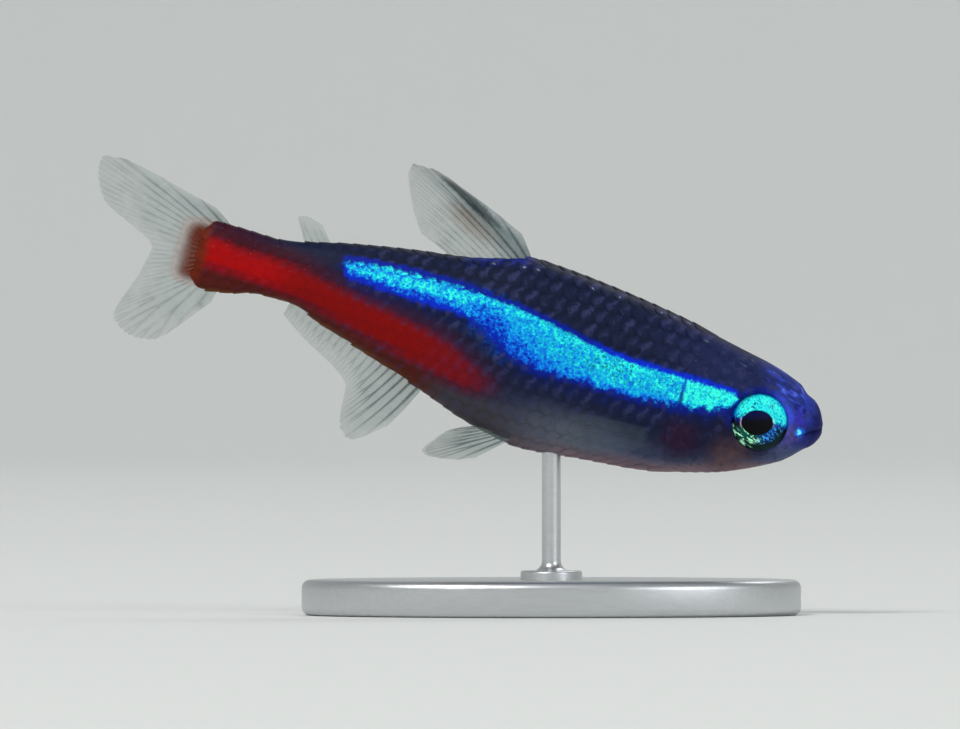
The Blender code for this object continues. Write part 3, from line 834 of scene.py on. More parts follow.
        # Across the gill cover's edge the stripe is cut to the dark blue ink beneath: painted shade of the
        # slit behind the cover.
        slit_shade = abs(station + ragged * 0.010 + grain * 0.004 - (GILL_STATION + 0.012))
        stripe = h.step(bottom - 0.002, bottom + 0.007) * h.step(top + 0.001, top - 0.005) * ends
        self.stripe = stripe * (1.0 - slit_shade.step(0.0048, 0.0012) * 0.85)
        across = (h - bottom) / (top - bottom).most(0.006)
        plateau = across.step(-0.10, 0.32) * 0.64 + across.step(0.55, 0.85) * 0.10 + 0.05
        dip = abs(station - 0.452).step(0.046, 0.012) * abs(across - 0.36).step(0.46, 0.12)
        slope = across.least(1.0) * 0.76 + 0.05 - dip * 0.24
        beads = across.step(-0.15, 0.55) * 0.48 + 0.13 + blob * 0.38 - station.step(0.30, 0.22) * 0.16
        level = slope + (plateau + head * 0.24 - slope) * full + (beads - slope) * rear
        fine = self.grains(7.5, 2.0, 0.65, 0.6) - 0.5
        blotch = self.grains(2.4, 2.0, 0.5) - 0.5
        level = level + fine * (rear * 0.5 + 1.8) + blotch * 0.6
        inks = (look.deep, look.azure, look.lagoon, look.cyan, look.neon)
        neon = self.ramp(level, *zip((0.0, 0.30, 0.60, 0.84, 1.0), inks))
        pits = self.grains(9.5, 2.0, 0.6, 1.0).step(0.46, 0.36) * across.step(0.15, 0.5)
        self.lay(self.stripe, self.mix(pits * (0.30 + full * 0.55 - head * 0.30), neon, look.teal))
        # The glow is painted light: the stripe and its line shine by emission, whatever the lamps
        self.glow = self.mix(self.stripe * 0.9 + line * (shine * 0.4 + 0.1), BLACK, self.ink)
        return line


def skin_paint():
    """The markings with a soft mottle over the scaleless parts, and a bright speck beside the mouth."""
    paint = BodyPaint("skin")
    look = paint.look
    paint.draw_markings()
    marked = paint.ink
    mottle = paint.grains(2.6, 4.0, 0.6)
    paint.lay(mottle.step(0.50, 0.66) * (1.0 - paint.calm) * 0.46, look.patch_and_sheen)
    paint.lay(mottle.step(0.48, 0.34) * 0.35, look.ridge)
    paint.lay(paint.stripe, marked)
    away = distance(paint.station - NEON_SPECK[0], paint.height - NEON_SPECK[1])
    away = away + (paint.grains(7.0, 2.0, 0.6) - 0.5) * 0.012
    speck = away.step(0.0102, 0.0046)
    paint.lay(speck, paint.mix(away.step(0.0052, 0.0020), look.azure, look.speck))
    # Emission paints a glow on the stripe and on the speck beside the mouth
    paint.surface(
        Base_Color=paint.ink,
        Emission_Color=paint.mix(speck, paint.glow, paint.ink),
        Emission_Strength=SHINE,
        Roughness=0.48,
        Specular_IOR_Level=0.08,
        Normal=paint.rough_normal(paint.grains(7.0, 4.0, 0.6), 0.00002),
    )
    return paint.material


def scale_paint():
    """The markings with a lavender patch of painted sheen and a dark rim on each scale, and pale dots of
    painted glint along the back.
    """
    paint = BodyPaint("scales")
    look = paint.look
    across, along, chance = paint.attribute("scale_place")
    cloud = paint.grains(4.0, 3.0, 0.6) - 0.5
    middle_of_scale = (abs(across) * 0.5 + along * 0.75 + cloud * 0.45).step(1.06, 0.60)
    paint.draw_markings(middle_of_scale)
    marked = paint.ink
    # A lavender patch on each scale of the back: painted sheen, as if light caught the scale
    lean = abs(across * 1.1 + (along - 0.68) * 3.4 + cloud * 2.4)
    patch_and_sheen = along.step(0.36, 0.56) * along.step(1.0, 0.80) * lean.step(0.80, 0.05)
    patch_and_sheen = patch_and_sheen * (chance * 0.8 + cloud * 1.4 + 0.4).step(0.30, 1.15) * (1.0 - paint.calm)
    paint.lay(patch_and_sheen * 0.72, look.patch_and_sheen)
    paint.lay((1.0 - middle_of_scale) * (0.44 - paint.calm * 0.38), look.ridge)
    up = paint.height / paint.curve(paint.station, BACK_LINE)
    # Pale dots on the scales beside the ridge: painted glints
    off_dot = distance(across * 0.50 + (chance - 0.5) * 0.5, (along - 0.72 - cloud * 0.5) * 1.07)
    dot = (off_dot + cloud * 0.12).step(0.075, 0.030)
    dot = dot * up.step(0.80, 0.86) * paint.station.step(0.34, 0.50) * chance.step(0.55, 0.85)
    paint.lay(dot * 0.75, look.glint)
    paint.lay(paint.stripe * 0.92, marked)
    # Emission paints a glow on the stripe
    paint.surface(
        Base_Color=paint.ink,
        Emission_Color=paint.glow,
        Emission_Strength=SHINE,
        Roughness=0.46,
        Specular_IOR_Level=0.09,
        Normal=paint.rough_normal(paint.grains(9.0, 3.0, 0.6), 0.00001),
    )
    return paint.material


# Skin

def gill_relief(station, height):
    """The gill cover stands out over a slit behind it and falls away towards the cheek."""
    ahead = station - gill_edge(height)
    window = smoothstep(COVER_TOP + 0.012, COVER_TOP - 0.014, height)
    window *= smoothstep(COVER_BOTTOM - 0.026, COVER_BOTTOM + 0.004, height)
    cover = smoothstep(-0.0012, 0.0022, ahead) * (1.0 - 0.75 * smoothstep(0.004, 0.060, ahead))
    slit = bump(ahead, -0.0045, 0.0035)
    return window * cover, window * slit


def cheek_relief(station, height):
    """The rim of the cheek's bone, and faint rays of the skin under the gill cover."""
    line = CHEEK_STATION + 1.6 * (height + 0.045) ** 2
    window = smoothstep(0.012, -0.014, height) * smoothstep(-0.112, -0.080, height)
    folds = math.sin((height + 0.10) * 900.0 + station * 120.0)
    under = smoothstep(-0.078, -0.094, height) * bump(station, 0.835, 0.045)
    rim = 0.5 * bump(station, line + 0.004, 0.006) - bump(station, line - 0.003, 0.0035)
    return window * rim + 0.35 * folds * under


def mouth_line(station):
    slope = (MOUTH_FRONT[1] - MOUTH_CORNER[1]) / (MOUTH_FRONT[0] - MOUTH_CORNER[0])
    return MOUTH_CORNER[1] + (station - MOUTH_CORNER[0]) * slope


def eye_distance(station, height):
    """Distance from the eye's middle, in radii of the eye."""
    return math.hypot(station - EYE_STATION, height - EYE_HEIGHT) / EYE_RADIUS


def skin_relief(station, height, skin):
    """How far the skin stands out over the plain body, in metres."""
    cover, slit = gill_relief(station, height)
    rise = skin.cover_rise * (cover - 1.1 * slit) + CHEEK_RISE * cheek_relief(station, height)
    off_line = height - mouth_line(station)
    lips = bump(abs(off_line), 0.009, 0.007) * smoothstep(0.965, 0.990, station)
    behind_corner = smoothstep(MOUTH_CORNER[0] - 0.003, MOUTH_CORNER[0] + 0.008, station)
    rise += skin.lip_rise * lips - skin.mouth_depth * bump(off_line, 0.0, 0.0021) * behind_corner
    for place, level, reach in NOSTRILS:
        away = math.hypot(station - place, height - level) / reach
        rise += NOSTRIL_RIM * bump(away, 1.10, 0.40) - NOSTRIL_DEPTH * bump(away, 0.0, 0.62)
    return rise + ORBIT_RISE * bump(eye_distance(station, height), 1.16, 0.08)


def eye_surface(away, station):
    """How far out the eyeball's side lies, in shares, at a distance from its middle."""
    depth = (EYE_FRONT - EYE_BACK) / 2
    dome = 0.78 * depth * math.sqrt(max(0.0, 1.0 - away * away))
    return (EYE_FRONT + EYE_BACK) / 2 + dome - math.sin(EYE_TURN) * (station - EYE_STATION)


def ring_station(place, angle):
    """A ring's station at an angle: near the gill cover's edge the rings lean along it."""
    base = smooth_between(RING_PLACES, place)[0]
    lean = bump(base, GILL_STATION, 0.045)
    station = base
    for _ in range(3):
        station = base + lean * (gill_edge(skin_point(station, angle)[1]) - GILL_STATION)
    return station


class TETRA_OT_skin(bpy.types.Operator):
    """Lays one skin over head, gill covers, trunk and tail stem"""

    bl_idname = "tetra.skin"
    bl_label = "Skin"

    def execute(self, context):
        skin = context.scene.tetra_skin
        bm = bmesh.new()
        bm.loops.layers.uv.new("OFBake")
        bmesh.ops.create_uvsphere(
            bm, u_segments=skin.around, v_segments=skin.rings, radius=1.0, calc_uvs=True
        )
        for vert in bm.verts:
            self.place_vert(vert, skin)
        face_outwards(bm)
        nodes = ("head", "gill_cover_left", "gill_cover_right", "trunk", "tail_stem")
        finish_piece("skin", bm, skin_paint(), "flank_skin", nodes, 80.0)
        return {"FINISHED"}

    def place_vert(self, vert, skin):
        """Carries a point of the sphere to the body, and under the eyeball inside the eye's socket."""
        rings = skin.rings
        ring = round(math.acos(max(-1.0, min(1.0, -vert.co.z))) / math.pi * rings)
        if ring in (0, rings):
            vert.co = middle(TAIL_END, 0.0) if ring == 0 else middle(SNOUT_TIP, -SNOUT_DROP)
            return
        angle = math.atan2(vert.co.y, vert.co.x)
        station = round(ring_station((ring - 1) / (rings - 1), angle), 6)
        side, height = skin_point(station, angle)
        lift = skin_relief(station, height, skin) - skin.coat_depth
        point = over_body(station, angle, lift)
        away = eye_distance(station, height)
        sunk = smoothstep(*SOCKET_EDGE, away)
        if sunk > 0.0:
            floor = math.copysign(eye_surface(away, station) - 0.006, side)
            outside = point - bent(station, side, height)
            point = bent(station, side + (floor - side) * sunk, height) + outside * (1.0 - sunk)
        vert.co = point
        vert.co.z -= SL * SNOUT_DROP * snout_share(station) ** 2


# Scales

@lru_cache(maxsize=None)
def arc_table(station, down):
    """Angles and lengths along the section from the side's middle to the back or the belly."""
    steps = 40
    rows = [(0.0, math.pi / 2)]
    before = skin_point(station, math.pi / 2)
    for step in range(1, steps + 1):
        angle = math.pi / 2 * (1 + (step if down else -step) / steps)
        point = skin_point(station, angle)
        rows.append((rows[-1][0] + math.dist(before, point), angle))
        before = point
    return rows


def angle_at(station, arc):
    """The angle on the section at a length from the side's middle, up if the length is positive."""
    rows = arc_table(round(station, 3), arc < 0)
    reach = abs(arc)
    if reach >= rows[-1][0]:
        return rows[-1][1] + (reach - rows[-1][0]) / section(station)[2] * math.copysign(1.0, -arc)
    low = next(i for i in range(len(rows) - 1) if rows[i + 1][0] > reach)
    part = (reach - rows[low][0]) / (rows[low + 1][0] - rows[low][0])
    return rows[low][1] + (rows[low + 1][1] - rows[low][1]) * part


@lru_cache(maxsize=None)
def half_round(station, down):
    return arc_table(round(station, 3), down)[-1][0]


def row_pitch_at(station, widest):
    """The rows draw together, and some of them end, as the body thins."""
    girth = half_round(station, False) + half_round(station, True)
    most = half_round(0.55, False) + half_round(0.55, True)
    return widest * (girth / most) ** 0.37


class TETRA_OT_scales(bpy.types.Operator):
    """Sets overlapping scales in staggered rows from the gill covers to the tail"""

    bl_idname = "tetra.scales"
    bl_label = "Scales"

    first_station = 0.800
    last_station = 0.004
    length_share = 1.75
    width_share = 0.74
    rows_each_way = 8
    root_depth = 0.00005
    dome_rise = 0.000012
    bake_rows = 19.0

    def execute(self, context):
        self.scales = context.scene.tetra_scales
        self.pitch = self.scales.pitch / SL
        self.paint = scale_paint()
        for side, label in ((-1, "right"), (1, "left")):
            self.start(11 + side)
            for row in range(-self.rows_each_way, self.rows_each_way + 1):
                self.add_row(row, side)
            self.finish(f"scales_{label}")
        self.start(17)
        self.add_edge_row(False, ((0.130, 0.205), (0.372, 0.512)))
        self.add_edge_row(True, ((0.130, 0.402),))
        self.finish("scales_middle")
        return {"FINISHED"}

    def start(self, seed):
        self.draw_random = random.Random(seed)
        self.bm = bmesh.new()
        self.uv = self.bm.loops.layers.uv.new("OFBake")
        self.local = self.bm.verts.layers.float_vector.new("scale_place")

    def finish(self, name):
        self.bm.normal_update()
        bmesh.ops.solidify(self.bm, geom=self.bm.faces[:], thickness=self.scales.thickness)
        finish_piece(name, self.bm, self.paint, "flank_skin", (), 60.0)

    def row_pitch(self, station):
        return row_pitch_at(round(station, 3), self.scales.row_pitch / SL)

    def add_row(self, row, side):
        """One row of a flank, from the gill cover or the nape to the tail or where the body narrows."""
        station = self.first_station - (0.5 * self.pitch if row % 2 else 0.0)
        while station > self.last_station:
            row_pitch = self.row_pitch(station)
            arc = row * row_pitch
            room = half_round(station, row < 0) - abs(arc)
            height = skin_point(station, angle_at(station, arc))[1]
            if room > 0.30 * row_pitch and station < gill_edge(height) + 0.35 * self.pitch:
                self.add_scale(station, side, lambda place: row * self.row_pitch(place), row + 8.5)
            station -= self.pitch

    def add_edge_row(self, under, fin_roots):
        """The scales that sit astride the back or the belly, apart from where a fin grows."""
        station = self.first_station - 0.75 * self.pitch
        sign = -1.0 if under else 1.0
        while station > self.last_station + 0.02:
            on_gills = under and station > GILL_STATION - 0.01
            if not on_gills and not any(low < station < high for low, high in fin_roots):
                bake_row = 17.7 if under else 18.5
                self.add_scale(station, 1, lambda place: sign * half_round(place, under), bake_row)
            station -= self.pitch

    def add_scale(self, station, side, centre, bake_row):
        """A thin plate, rounded behind, sunk at its root. centre gives its row's place round the body."""
        made = bmesh.ops.create_grid(self.bm, x_segments=8, y_segments=6, size=1.0)
        length_here = self.length_share * self.pitch * self.draw_random.uniform(0.97, 1.03)
        turn = self.draw_random.uniform(-0.05, 0.05)
        tilt = self.draw_random.uniform(0.85, 1.15)
        chance = self.draw_random.random()
        for vert in made["verts"]:
            across, along = vert.co.x, (vert.co.y + 1.0) / 2.0
            vert[self.local] = (across, along, chance)
            taper = 1.0 - 0.10 * along**3
            reach = along * (1.0 - 0.52 * along * (1.0 - math.sqrt(1.0 - 0.92 * across * across)))
            place = station + (0.42 - reach) * length_here + across * turn * 0.01
            arc = centre(place) + across * self.width_share * taper * self.row_pitch(place)
            dome = self.dome_rise * (1.0 - across * across)
            lift = -self.root_depth + self.scales.lift * tilt * (reach - 0.55) + dome
            vert.co = over_body(place, side * angle_at(place, arc), lift)
        for face in {face for vert in made["verts"] for face in vert.link_faces}:
            for loop in face.loops:
                across, along, _ = loop.vert[self.local]
                u = station + (0.5 - along) * self.pitch * 0.9
                loop[self.uv].uv = (0.04 + 0.9 * u / 0.85, (bake_row + across * 0.42) / self.bake_rows)


# Eyes

def eye_paint():
    """A bright ragged crescent, a dark lower iris with fine slanting dashes, and a flat-topped pupil."""
    paint = FishPaint("eye")
    look, eyes = paint.look, bpy.context.scene.tetra_eyes
    s = paint.station - EYE_STATION
    h = paint.height - EYE_HEIGHT
    cosine, sine = math.cos(PITCH), math.sin(PITCH)
    right = s * cosine + h * sine + PUPIL_BACK
    up = h * cosine - s * sine
    tilted = up + right * 0.17
    away = distance(s, h) / EYE_RADIUS
    from_pupil = distance(right / PUPIL_SIZE[0], (up - PUPIL_HEIGHT) / PUPIL_SIZE[1])
    worm = paint.grains(5.0, 3.0, 0.62, 1.4) - 0.5
    fine = paint.grains(9.0, 2.0, 0.6, 0.8) - 0.5

    paint.ink = paint.mix(up.step(0.010, -0.030), eyes.dusk, eyes.moss)
    edge = paint.mix((right + worm * 0.06).step(0.008, 0.036), look.deep, look.azure)
    paint.lay((tilted + worm * 0.02).step(-0.008, 0.006), edge)
    inks = (look.azure, look.lagoon, look.cyan, look.neon)
    iris = paint.ramp(0.78 + worm * 1.4 + fine * 1.1, *zip((0.0, 0.4, 0.7, 1.0), inks))
    iris = paint.mix(fine.step(-0.05, -0.15) * 0.85, iris, look.teal)
    iris = paint.mix((right + worm * 0.02).step(-0.026, -0.036) * 0.8, iris, look.azure)
    rim = (away + worm * 0.16 + fine * 0.22).step(1.02, 0.92)
    crescent = (tilted + worm * 0.030).step(-0.001, 0.008) * rim
    paint.lay(crescent, iris)

    low = up.step(-0.004, -0.013)
    forward = (right + worm * 0.01).step(-0.006, 0.014)
    haze = low * (from_pupil + worm * 0.8).step(1.90, 1.15) * right.step(0.034, 0.022)
    paint.lay(haze * 0.70, paint.mix(forward, eyes.green, eyes.blue))
    streak = paint.noise(paint.stretched(paint.place, 50.0, 3.4), 9.5, 2.0, 0.6, 0.4)
    near = low * from_pupil.step(1.82, 1.56) * streak.step(0.52, 0.59)
    outer = abs(away - 0.94).step(0.055, 0.020) * right.step(-0.006, -0.018) * up.step(0.0, -0.008)
    dashes = near.most(outer * streak.step(0.44, 0.52))
    paint.lay(dashes * 0.95, paint.mix(forward, eyes.mint, eyes.sky))
    ring = abs(from_pupil - 1.07).step(0.055, 0.015) * abs(up).step(0.012, 0.004)
    paint.lay(ring * worm.step(-0.10, 0.05) * 0.8, eyes.ring)
    pupil = (from_pupil + worm * 0.05).step(1.03, 0.97)
    paint.lay(pupil, paint.mix(up.step(-0.002, 0.016), eyes.pupil, eyes.pupil_top))
    # lit is painted light: the crescent, the dashes and the iris's top glow by emission
    lit = crescent.most(dashes * 0.7).most(tilted.step(-0.004, 0.006) * 0.6)
    paint.surface(
        Base_Color=paint.ink,
        Emission_Color=paint.mix(lit * (1.0 - pupil), BLACK, paint.ink),
        Emission_Strength=SHINE,
        Roughness=0.30,
        Specular_IOR_Level=0.08,
        Coat_Weight=1.0,
        Coat_IOR=1.12,
        Coat_Roughness=0.03,
    )
    return paint.material


def eye_profile():
    """Radius and height from the lens's middle, over the iris, round to the eyeball's back."""
    radius, depth = SL * EYE_RADIUS, SL * (EYE_FRONT - EYE_BACK) / 2
    lens, lens_base, lens_rise, iris_rise = 0.56, 0.74, 0.22, 0.78
    steps = 14
    for step in range(steps + 1):
        part = step / steps
        yield part * lens * radius, depth * (lens_base + lens_rise * math.sqrt(1 - 0.96 * part**2))
    yield lens * 1.02 * radius, depth * (lens_base - 0.02)
    for step in range(1, steps + 1):
        part = lens * 1.05 + (1.0 - lens * 1.05) * math.sin(math.pi / 2 * step / steps)
        part = min(part, 1.0)
        yield part * radius, iris_rise * depth * math.sqrt(1 - part**2)
    for step in range(1, steps + 1):
        turn = math.pi / 2 * step / steps
        yield math.cos(turn) * radius, -depth * math.sin(turn)


class TETRA_OT_eyes(bpy.types.Operator):
    """Turns both eyeballs: a bulging lens in the middle of a domed iris"""

    bl_idname = "tetra.eyes"
    bl_label = "Eyes"

    def execute(self, context):
        paint = eye_paint()
        for side, label in ((-1, "right"), (1, "left")):
            bm = turned(eye_profile(), 72)
            turn = Matrix.Rotation(side * -EYE_TURN, 4, "Z") @ Matrix.Rotation(-side * math.pi / 2, 4, "X")
            bmesh.ops.transform(bm, matrix=turn, verts=bm.verts)
            centre = SL * Vector((EYE_STATION, side * (EYE_FRONT + EYE_BACK) / 2, EYE_HEIGHT))
            bmesh.ops.translate(bm, vec=centre, verts=bm.verts)
            finish_piece(f"eyeball_{label}", bm, paint, "eye", (f"eye_{label}",), 60.0)
        return {"FINISHED"}


# Fins

def fin_paint(name, front=1.2, shade=0.0, strength=1.0, rays=0.22, stain=False, red_root=False):
    """Clear membrane with dusky, jointed rays.

    The rays are darkest before front, a place among them, and shade clouds the membrane there.
    rays is how much the others show, stain adds the brown in the middle of the dorsal fin, and
    red_root the tail's orange brown.
    """
    fins = bpy.context.scene.tetra_fins
    paint = FishPaint(name)
    ray, out, phase = paint.attribute("fin_place")
    smoke = paint.grains(1.3, 3.0, 0.55)
    dots = paint.grains(8.0, 2.0, 0.6)
    lead = phase.step(front + 0.20, front - 0.16)
    joints = (out * 26.0 + phase * 9.0).fraction().step(0.16, 0.06)
    bone = paint.mix(dots.step(0.42, 0.62), fins.bone, fins.pale_bone)
    paint.ink = paint.mix(lead * shade * 3.0, fins.glass, fins.cloud)
    paint.lay(ray, paint.mix(joints * 0.5, bone, fins.glass))
    cover = fins.clear * (0.75 + smoke * 0.6) + shade * lead * (0.7 + smoke * 0.6)
    drawn = rays + lead * out.step(1.0, 0.50) * 0.50 + (smoke - 0.5) * 0.5
    cover = cover + ray * (fins.dusk - fins.clear) * drawn.most(0.0)
    cover = cover + dots.step(0.60, 0.74) * 0.06
    cover = cover * (1.0 - out.step(0.40, 1.0) * 0.40) * strength
    if stain:
        spot = abs(out - 0.42).step(0.30, 0.04) * abs(phase - 0.34).step(0.26, 0.04)
        streaks = abs(phase - 0.10 - dots * 0.05).step(0.06, 0.02) * out.step(0.35, 0.60)
        paint.lay(spot * 0.50, fins.stain)
        paint.lay(streaks * 0.7, fins.streak)
        cover = cover + spot * 0.14 + streaks * out.step(1.0, 0.85) * 0.34
    if red_root:
        inside = abs(paint.height - 0.004).step(0.058, 0.030)
        blush = (paint.station + (smoke - 0.5) * 0.012).step(-0.056, -0.013) * inside
        paint.lay(blush.step(0.0, 0.12), paint.mix(blush, paint.look.rust, paint.look.ember))
        cover = cover.most(blush * 0.94)
    paint.surface(Base_Color=paint.ink, Alpha=cover.least(1.0), Roughness=0.35, Specular_IOR_Level=0.25)
    return paint.material


def ray_ridge(phase, out, branched):
    """1 on a ray and 0 on the membrane. Each ray forks, and its branches fork once more."""
    fork = 0.25 * smoothstep(0.34, 0.80, out) * branched
    twig = 0.10 * smoothstep(0.72, 0.96, out) * branched
    off = abs(abs(phase - math.floor(phase) - 0.5) - fork)
    width = 0.17 - 0.075 * smoothstep(0.0, 0.5, out) - 0.035 * smoothstep(0.5, 0.9, out)
    return bump(off, twig, width)


def add_fin(name, foot, margin, rays, rows, place, paint, bow=0.0, ray_share=1.0):
    """A fin: a fine sheet whose thickness follows its rays.

    foot gives a ray's root and margin's table its end, in shares, from 0 at the first ray to 1
    at the last. place carries a point into the fish, and is told how far out it lies and how far
    the sheet waves to the side there, in shares.
    """
    fins = bpy.context.scene.tetra_fins
    columns = COLUMNS_PER_RAY * rays
    bm = bmesh.new()
    bm.loops.layers.uv.new("OFBake")
    local = bm.verts.layers.float_vector.new("fin_place")
    weight = bm.verts.layers.deform.new()
    bmesh.ops.create_grid(bm, x_segments=columns, y_segments=rows, size=1.0, calc_uvs=True)
    shares = [column / columns for column in range(columns + 1)]
    ends = [(Vector(foot(u)), Vector(smooth_between(margin, u))) for u in shares]
    for vert in bm.verts:
        u, v = (vert.co.x + 1) / 2, (vert.co.y + 1) / 2
        root, end = ends[round(u * columns)]
        ray = end - root
        forward = math.copysign(1.0, ray.y) * Vector((ray.y, -ray.x))
        ridge = ray_ridge(u * rays, v, smoothstep(0.06, 0.20, u)) * ray_share
        reach = v * (1.0 - 0.018 * (1.0 - ridge) * smoothstep(0.8, 1.0, v))
        spot = root + ray * reach + forward * (bow * 4 * v * (1 - v))
        wave = 0.0042 * v * math.sin(u * 9.0 + v * 3.2 + rays) + 0.0016 * v * math.sin(u * 31.0)
        vert.co = place(spot.x, spot.y, v, wave)
        vert[local] = (ridge, v, u)
        full = fins.membrane + (fins.ray - fins.membrane) * ridge * (1.0 - 0.6 * v)
        vert[weight][0] = full / fins.ray
    fin = finish_piece(name, bm, paint, "fin", (name.replace("_dressed", ""),), 70.0)
    fin.vertex_groups.new(name="thickness")
    wall = fin.modifiers.new("membrane_and_rays", "SOLIDIFY")
    wall.thickness = fins.ray
    wall.offset = 0.0
    wall.vertex_group = "thickness"


def in_middle(station, height, _out, wave):
    return bent(station, wave, height)


def root_line(first, last, under=False):
    """The foot of a fin along the back, or along the belly, from its first ray to its last."""
    def foot(u):
        station = first + (last - first) * u
        back, belly, _ = section(station)
        return station, FIN_SUNK - belly if under else back - FIN_SUNK

    return foot


def tail_root(u):
    return smooth_between(CAUDAL_ROOT, u)


class TETRA_OT_middle_fins(bpy.types.Operator):
    """Makes the dorsal, adipose, anal and caudal fin"""

    bl_idname = "tetra.middle_fins"
    bl_label = "Fins in the middle plane"

    def execute(self, context):
        dorsal = fin_paint("dorsal_fin_skin", 0.26, 0.26, rays=0.12, stain=True)
        anal = fin_paint("anal_fin_skin", 0.28, 0.07, rays=0.06)
        caudal = fin_paint("caudal_fin_skin", 0.05, 0.14, rays=0.08, red_root=True)
        soft = fin_paint("adipose_fin_skin")
        for name, foot, margin, rays, rows, paint, bow, ray_share in (
            ("dorsal", root_line(0.500, 0.385), DORSAL_MARGIN, 11, 52, dorsal, 0.015, 1.0),
            ("adipose", root_line(0.192, 0.150), ADIPOSE_MARGIN, 4, 20, soft, 0.0, 0.2),
            ("anal", root_line(0.387, 0.150, under=True), ANAL_MARGIN, 19, 44, anal, 0.02, 1.0),
            ("caudal", tail_root, CAUDAL_MARGIN, 21, 56, caudal, 0.0, 1.0),
        ):
            add_fin(f"{name}_fin_dressed", foot, margin, rays, rows, in_middle, paint, bow, ray_share)
        return {"FINISHED"}


class TETRA_OT_paired_fins(bpy.types.Operator):
    """Makes the pectoral fins behind the gill covers and the pelvic fins under the belly"""

    bl_idname = "tetra.paired_fins"
    bl_label = "Paired fins"

    def execute(self, context):
        pelvic = fin_paint("pelvic_fin_skin", strength=0.85)
        pectoral = fin_paint("pectoral_fin_skin", strength=0.20)
        for side, label in ((-1, "right"), (1, "left")):
            self.add_pelvic(f"pelvic_fin_{label}_dressed", side, pelvic)
            self.add_pectoral(f"pectoral_fin_{label}_dressed", side, pectoral)
        return {"FINISHED"}

    def add_pelvic(self, name, side, paint):
        """A fin in a plane that leans outwards from its rear root."""
        root_side, lean = 0.020, 0.75
        front, rear = 0.550, 0.506
        rear_height = belly_at(rear, root_side)

        def side_at(height):
            return root_side + lean * (rear_height - height)

        def foot(u):
            station = front + (rear - front) * u
            height = rear_height
            for _ in range(4):
                height = belly_at(station, side_at(height))
            return station, height + FIN_SUNK

        def place(station, height, _out, wave):
            return bent(station, side * (side_at(height) + wave), height)

        add_fin(name, foot, PELVIC_MARGIN, 8, 36, place, paint)

    def add_pectoral(self, name, side, paint):
        """A fin swept back and held a little out from the flank."""
        turn = math.radians(22.0)
        station, high, low = 0.744, -0.070, -0.098
        level = (high + low) / 2
        out = side_of(station, level) - 0.004

        def foot(u):
            return station, high + (low - high) * u

        def place(at, height, along, wave):
            back = station - at
            follow = (side_of(station, height) - side_of(station, level)) * (1.0 - along) ** 2
            sideways = out + back * math.sin(turn) + follow + 0.014 * along + wave
            return bent(station - back * math.cos(turn), side * sideways, height)

        add_fin(name, foot, PECTORAL_MARGIN, 10, 36, place, paint)


# Stand

def steel_paint():
    stand = bpy.context.scene.tetra_stand
    paint = Paint("satin_steel")
    place = paint.node("ShaderNodeTexCoord", {}, {}, "Object")
    brushed = {0: place, 1: (300.0, 9000.0, 9000.0)}
    lengthwise = paint.node("ShaderNodeVectorMath", {"operation": "MULTIPLY"}, brushed)
    streak = paint.noise(lengthwise, 1.0, 3.0, 0.6)
    cloud = paint.noise(paint.scaled(place, MILLIMETRES), 0.35, 3.0, 0.5)
    steel = paint.mix(streak, tuple(0.82 * v for v in stand.steel), tuple(stand.steel))
    paint.surface(
        Base_Color=steel,
        Metallic=1.0,
        Roughness=0.24 + streak * 0.16 + cloud * 0.06,
        Normal=paint.rough_normal(streak, 0.000004),
    )
    return paint.material


class TETRA_OT_stand(bpy.types.Operator):
    """Makes the oval base with its rounded edges and the rod with its flange"""

    bl_idname = "tetra.stand"
    bl_label = "Stand"

    def execute(self, context):
        stand = context.scene.tetra_stand
        paint = steel_paint()
        self.add_base(stand, paint)
        self.add_rod(stand, paint)
        return {"FINISHED"}

    def add_base(self, stand, paint):
        bm = bmesh.new()
        bmesh.ops.create_cone(
            bm, cap_ends=True, segments=160, radius1=0.5, radius2=0.5, depth=stand.base_height
        )
        size = (stand.base_length, stand.base_width, 1.0)
        bmesh.ops.scale(bm, vec=size, verts=bm.verts)
        bmesh.ops.translate(bm, vec=(0, 0, stand.base_height / 2), verts=bm.verts)
        rim = [edge for edge in bm.edges if abs(edge.verts[0].co.z - edge.verts[1].co.z) < 1e-6]
        bmesh.ops.bevel(
            bm, geom=rim, offset=stand.edge, segments=5, profile=0.5, affect="EDGES", material=-1
        )
        face_outwards(bm)
        finish_piece("stand_base_dressed", bm, paint, "stand_metal", ("stand_base",), 40.0, fish=False)

    def add_rod(self, stand, paint):
        """A turned rod from its foot flange up into the belly, with a fillet where it meets the flange and
        the flange's edge rounded.
        """
        foot_radius, foot_height, fillet, round_off = 0.0013, 0.0004, 0.0004, 0.00012
        bottom, top = stand.base_height - 0.00002, BELLY_OVER_ROD.z + 0.0005
        profile = [(0.0, top), (ROD_RADIUS, top)]
        steps = 10
        for step in range(steps + 1):
            turn = math.pi / 2 * step / steps
            radius = ROD_RADIUS + fillet * (1 - math.cos(turn))
            profile.append((radius, bottom + foot_height + fillet * (1 - math.sin(turn))))
        for step in range(steps + 1):
            turn = math.pi / 2 * step / steps
            radius = foot_radius - round_off * (1 - math.sin(turn))
            profile.append((radius, bottom + foot_height - round_off * (1 - math.cos(turn))))
        profile += [(foot_radius, bottom), (0.0, bottom)]
        bm = turned(profile, 64)
        bmesh.ops.translate(bm, vec=(BELLY_OVER_ROD.x, BELLY_OVER_ROD.y, 0.0), verts=bm.verts)
        finish_piece("stand_rod_dressed", bm, paint, "stand_metal", ("stand_rod",), 40.0, fish=False)


# Stage

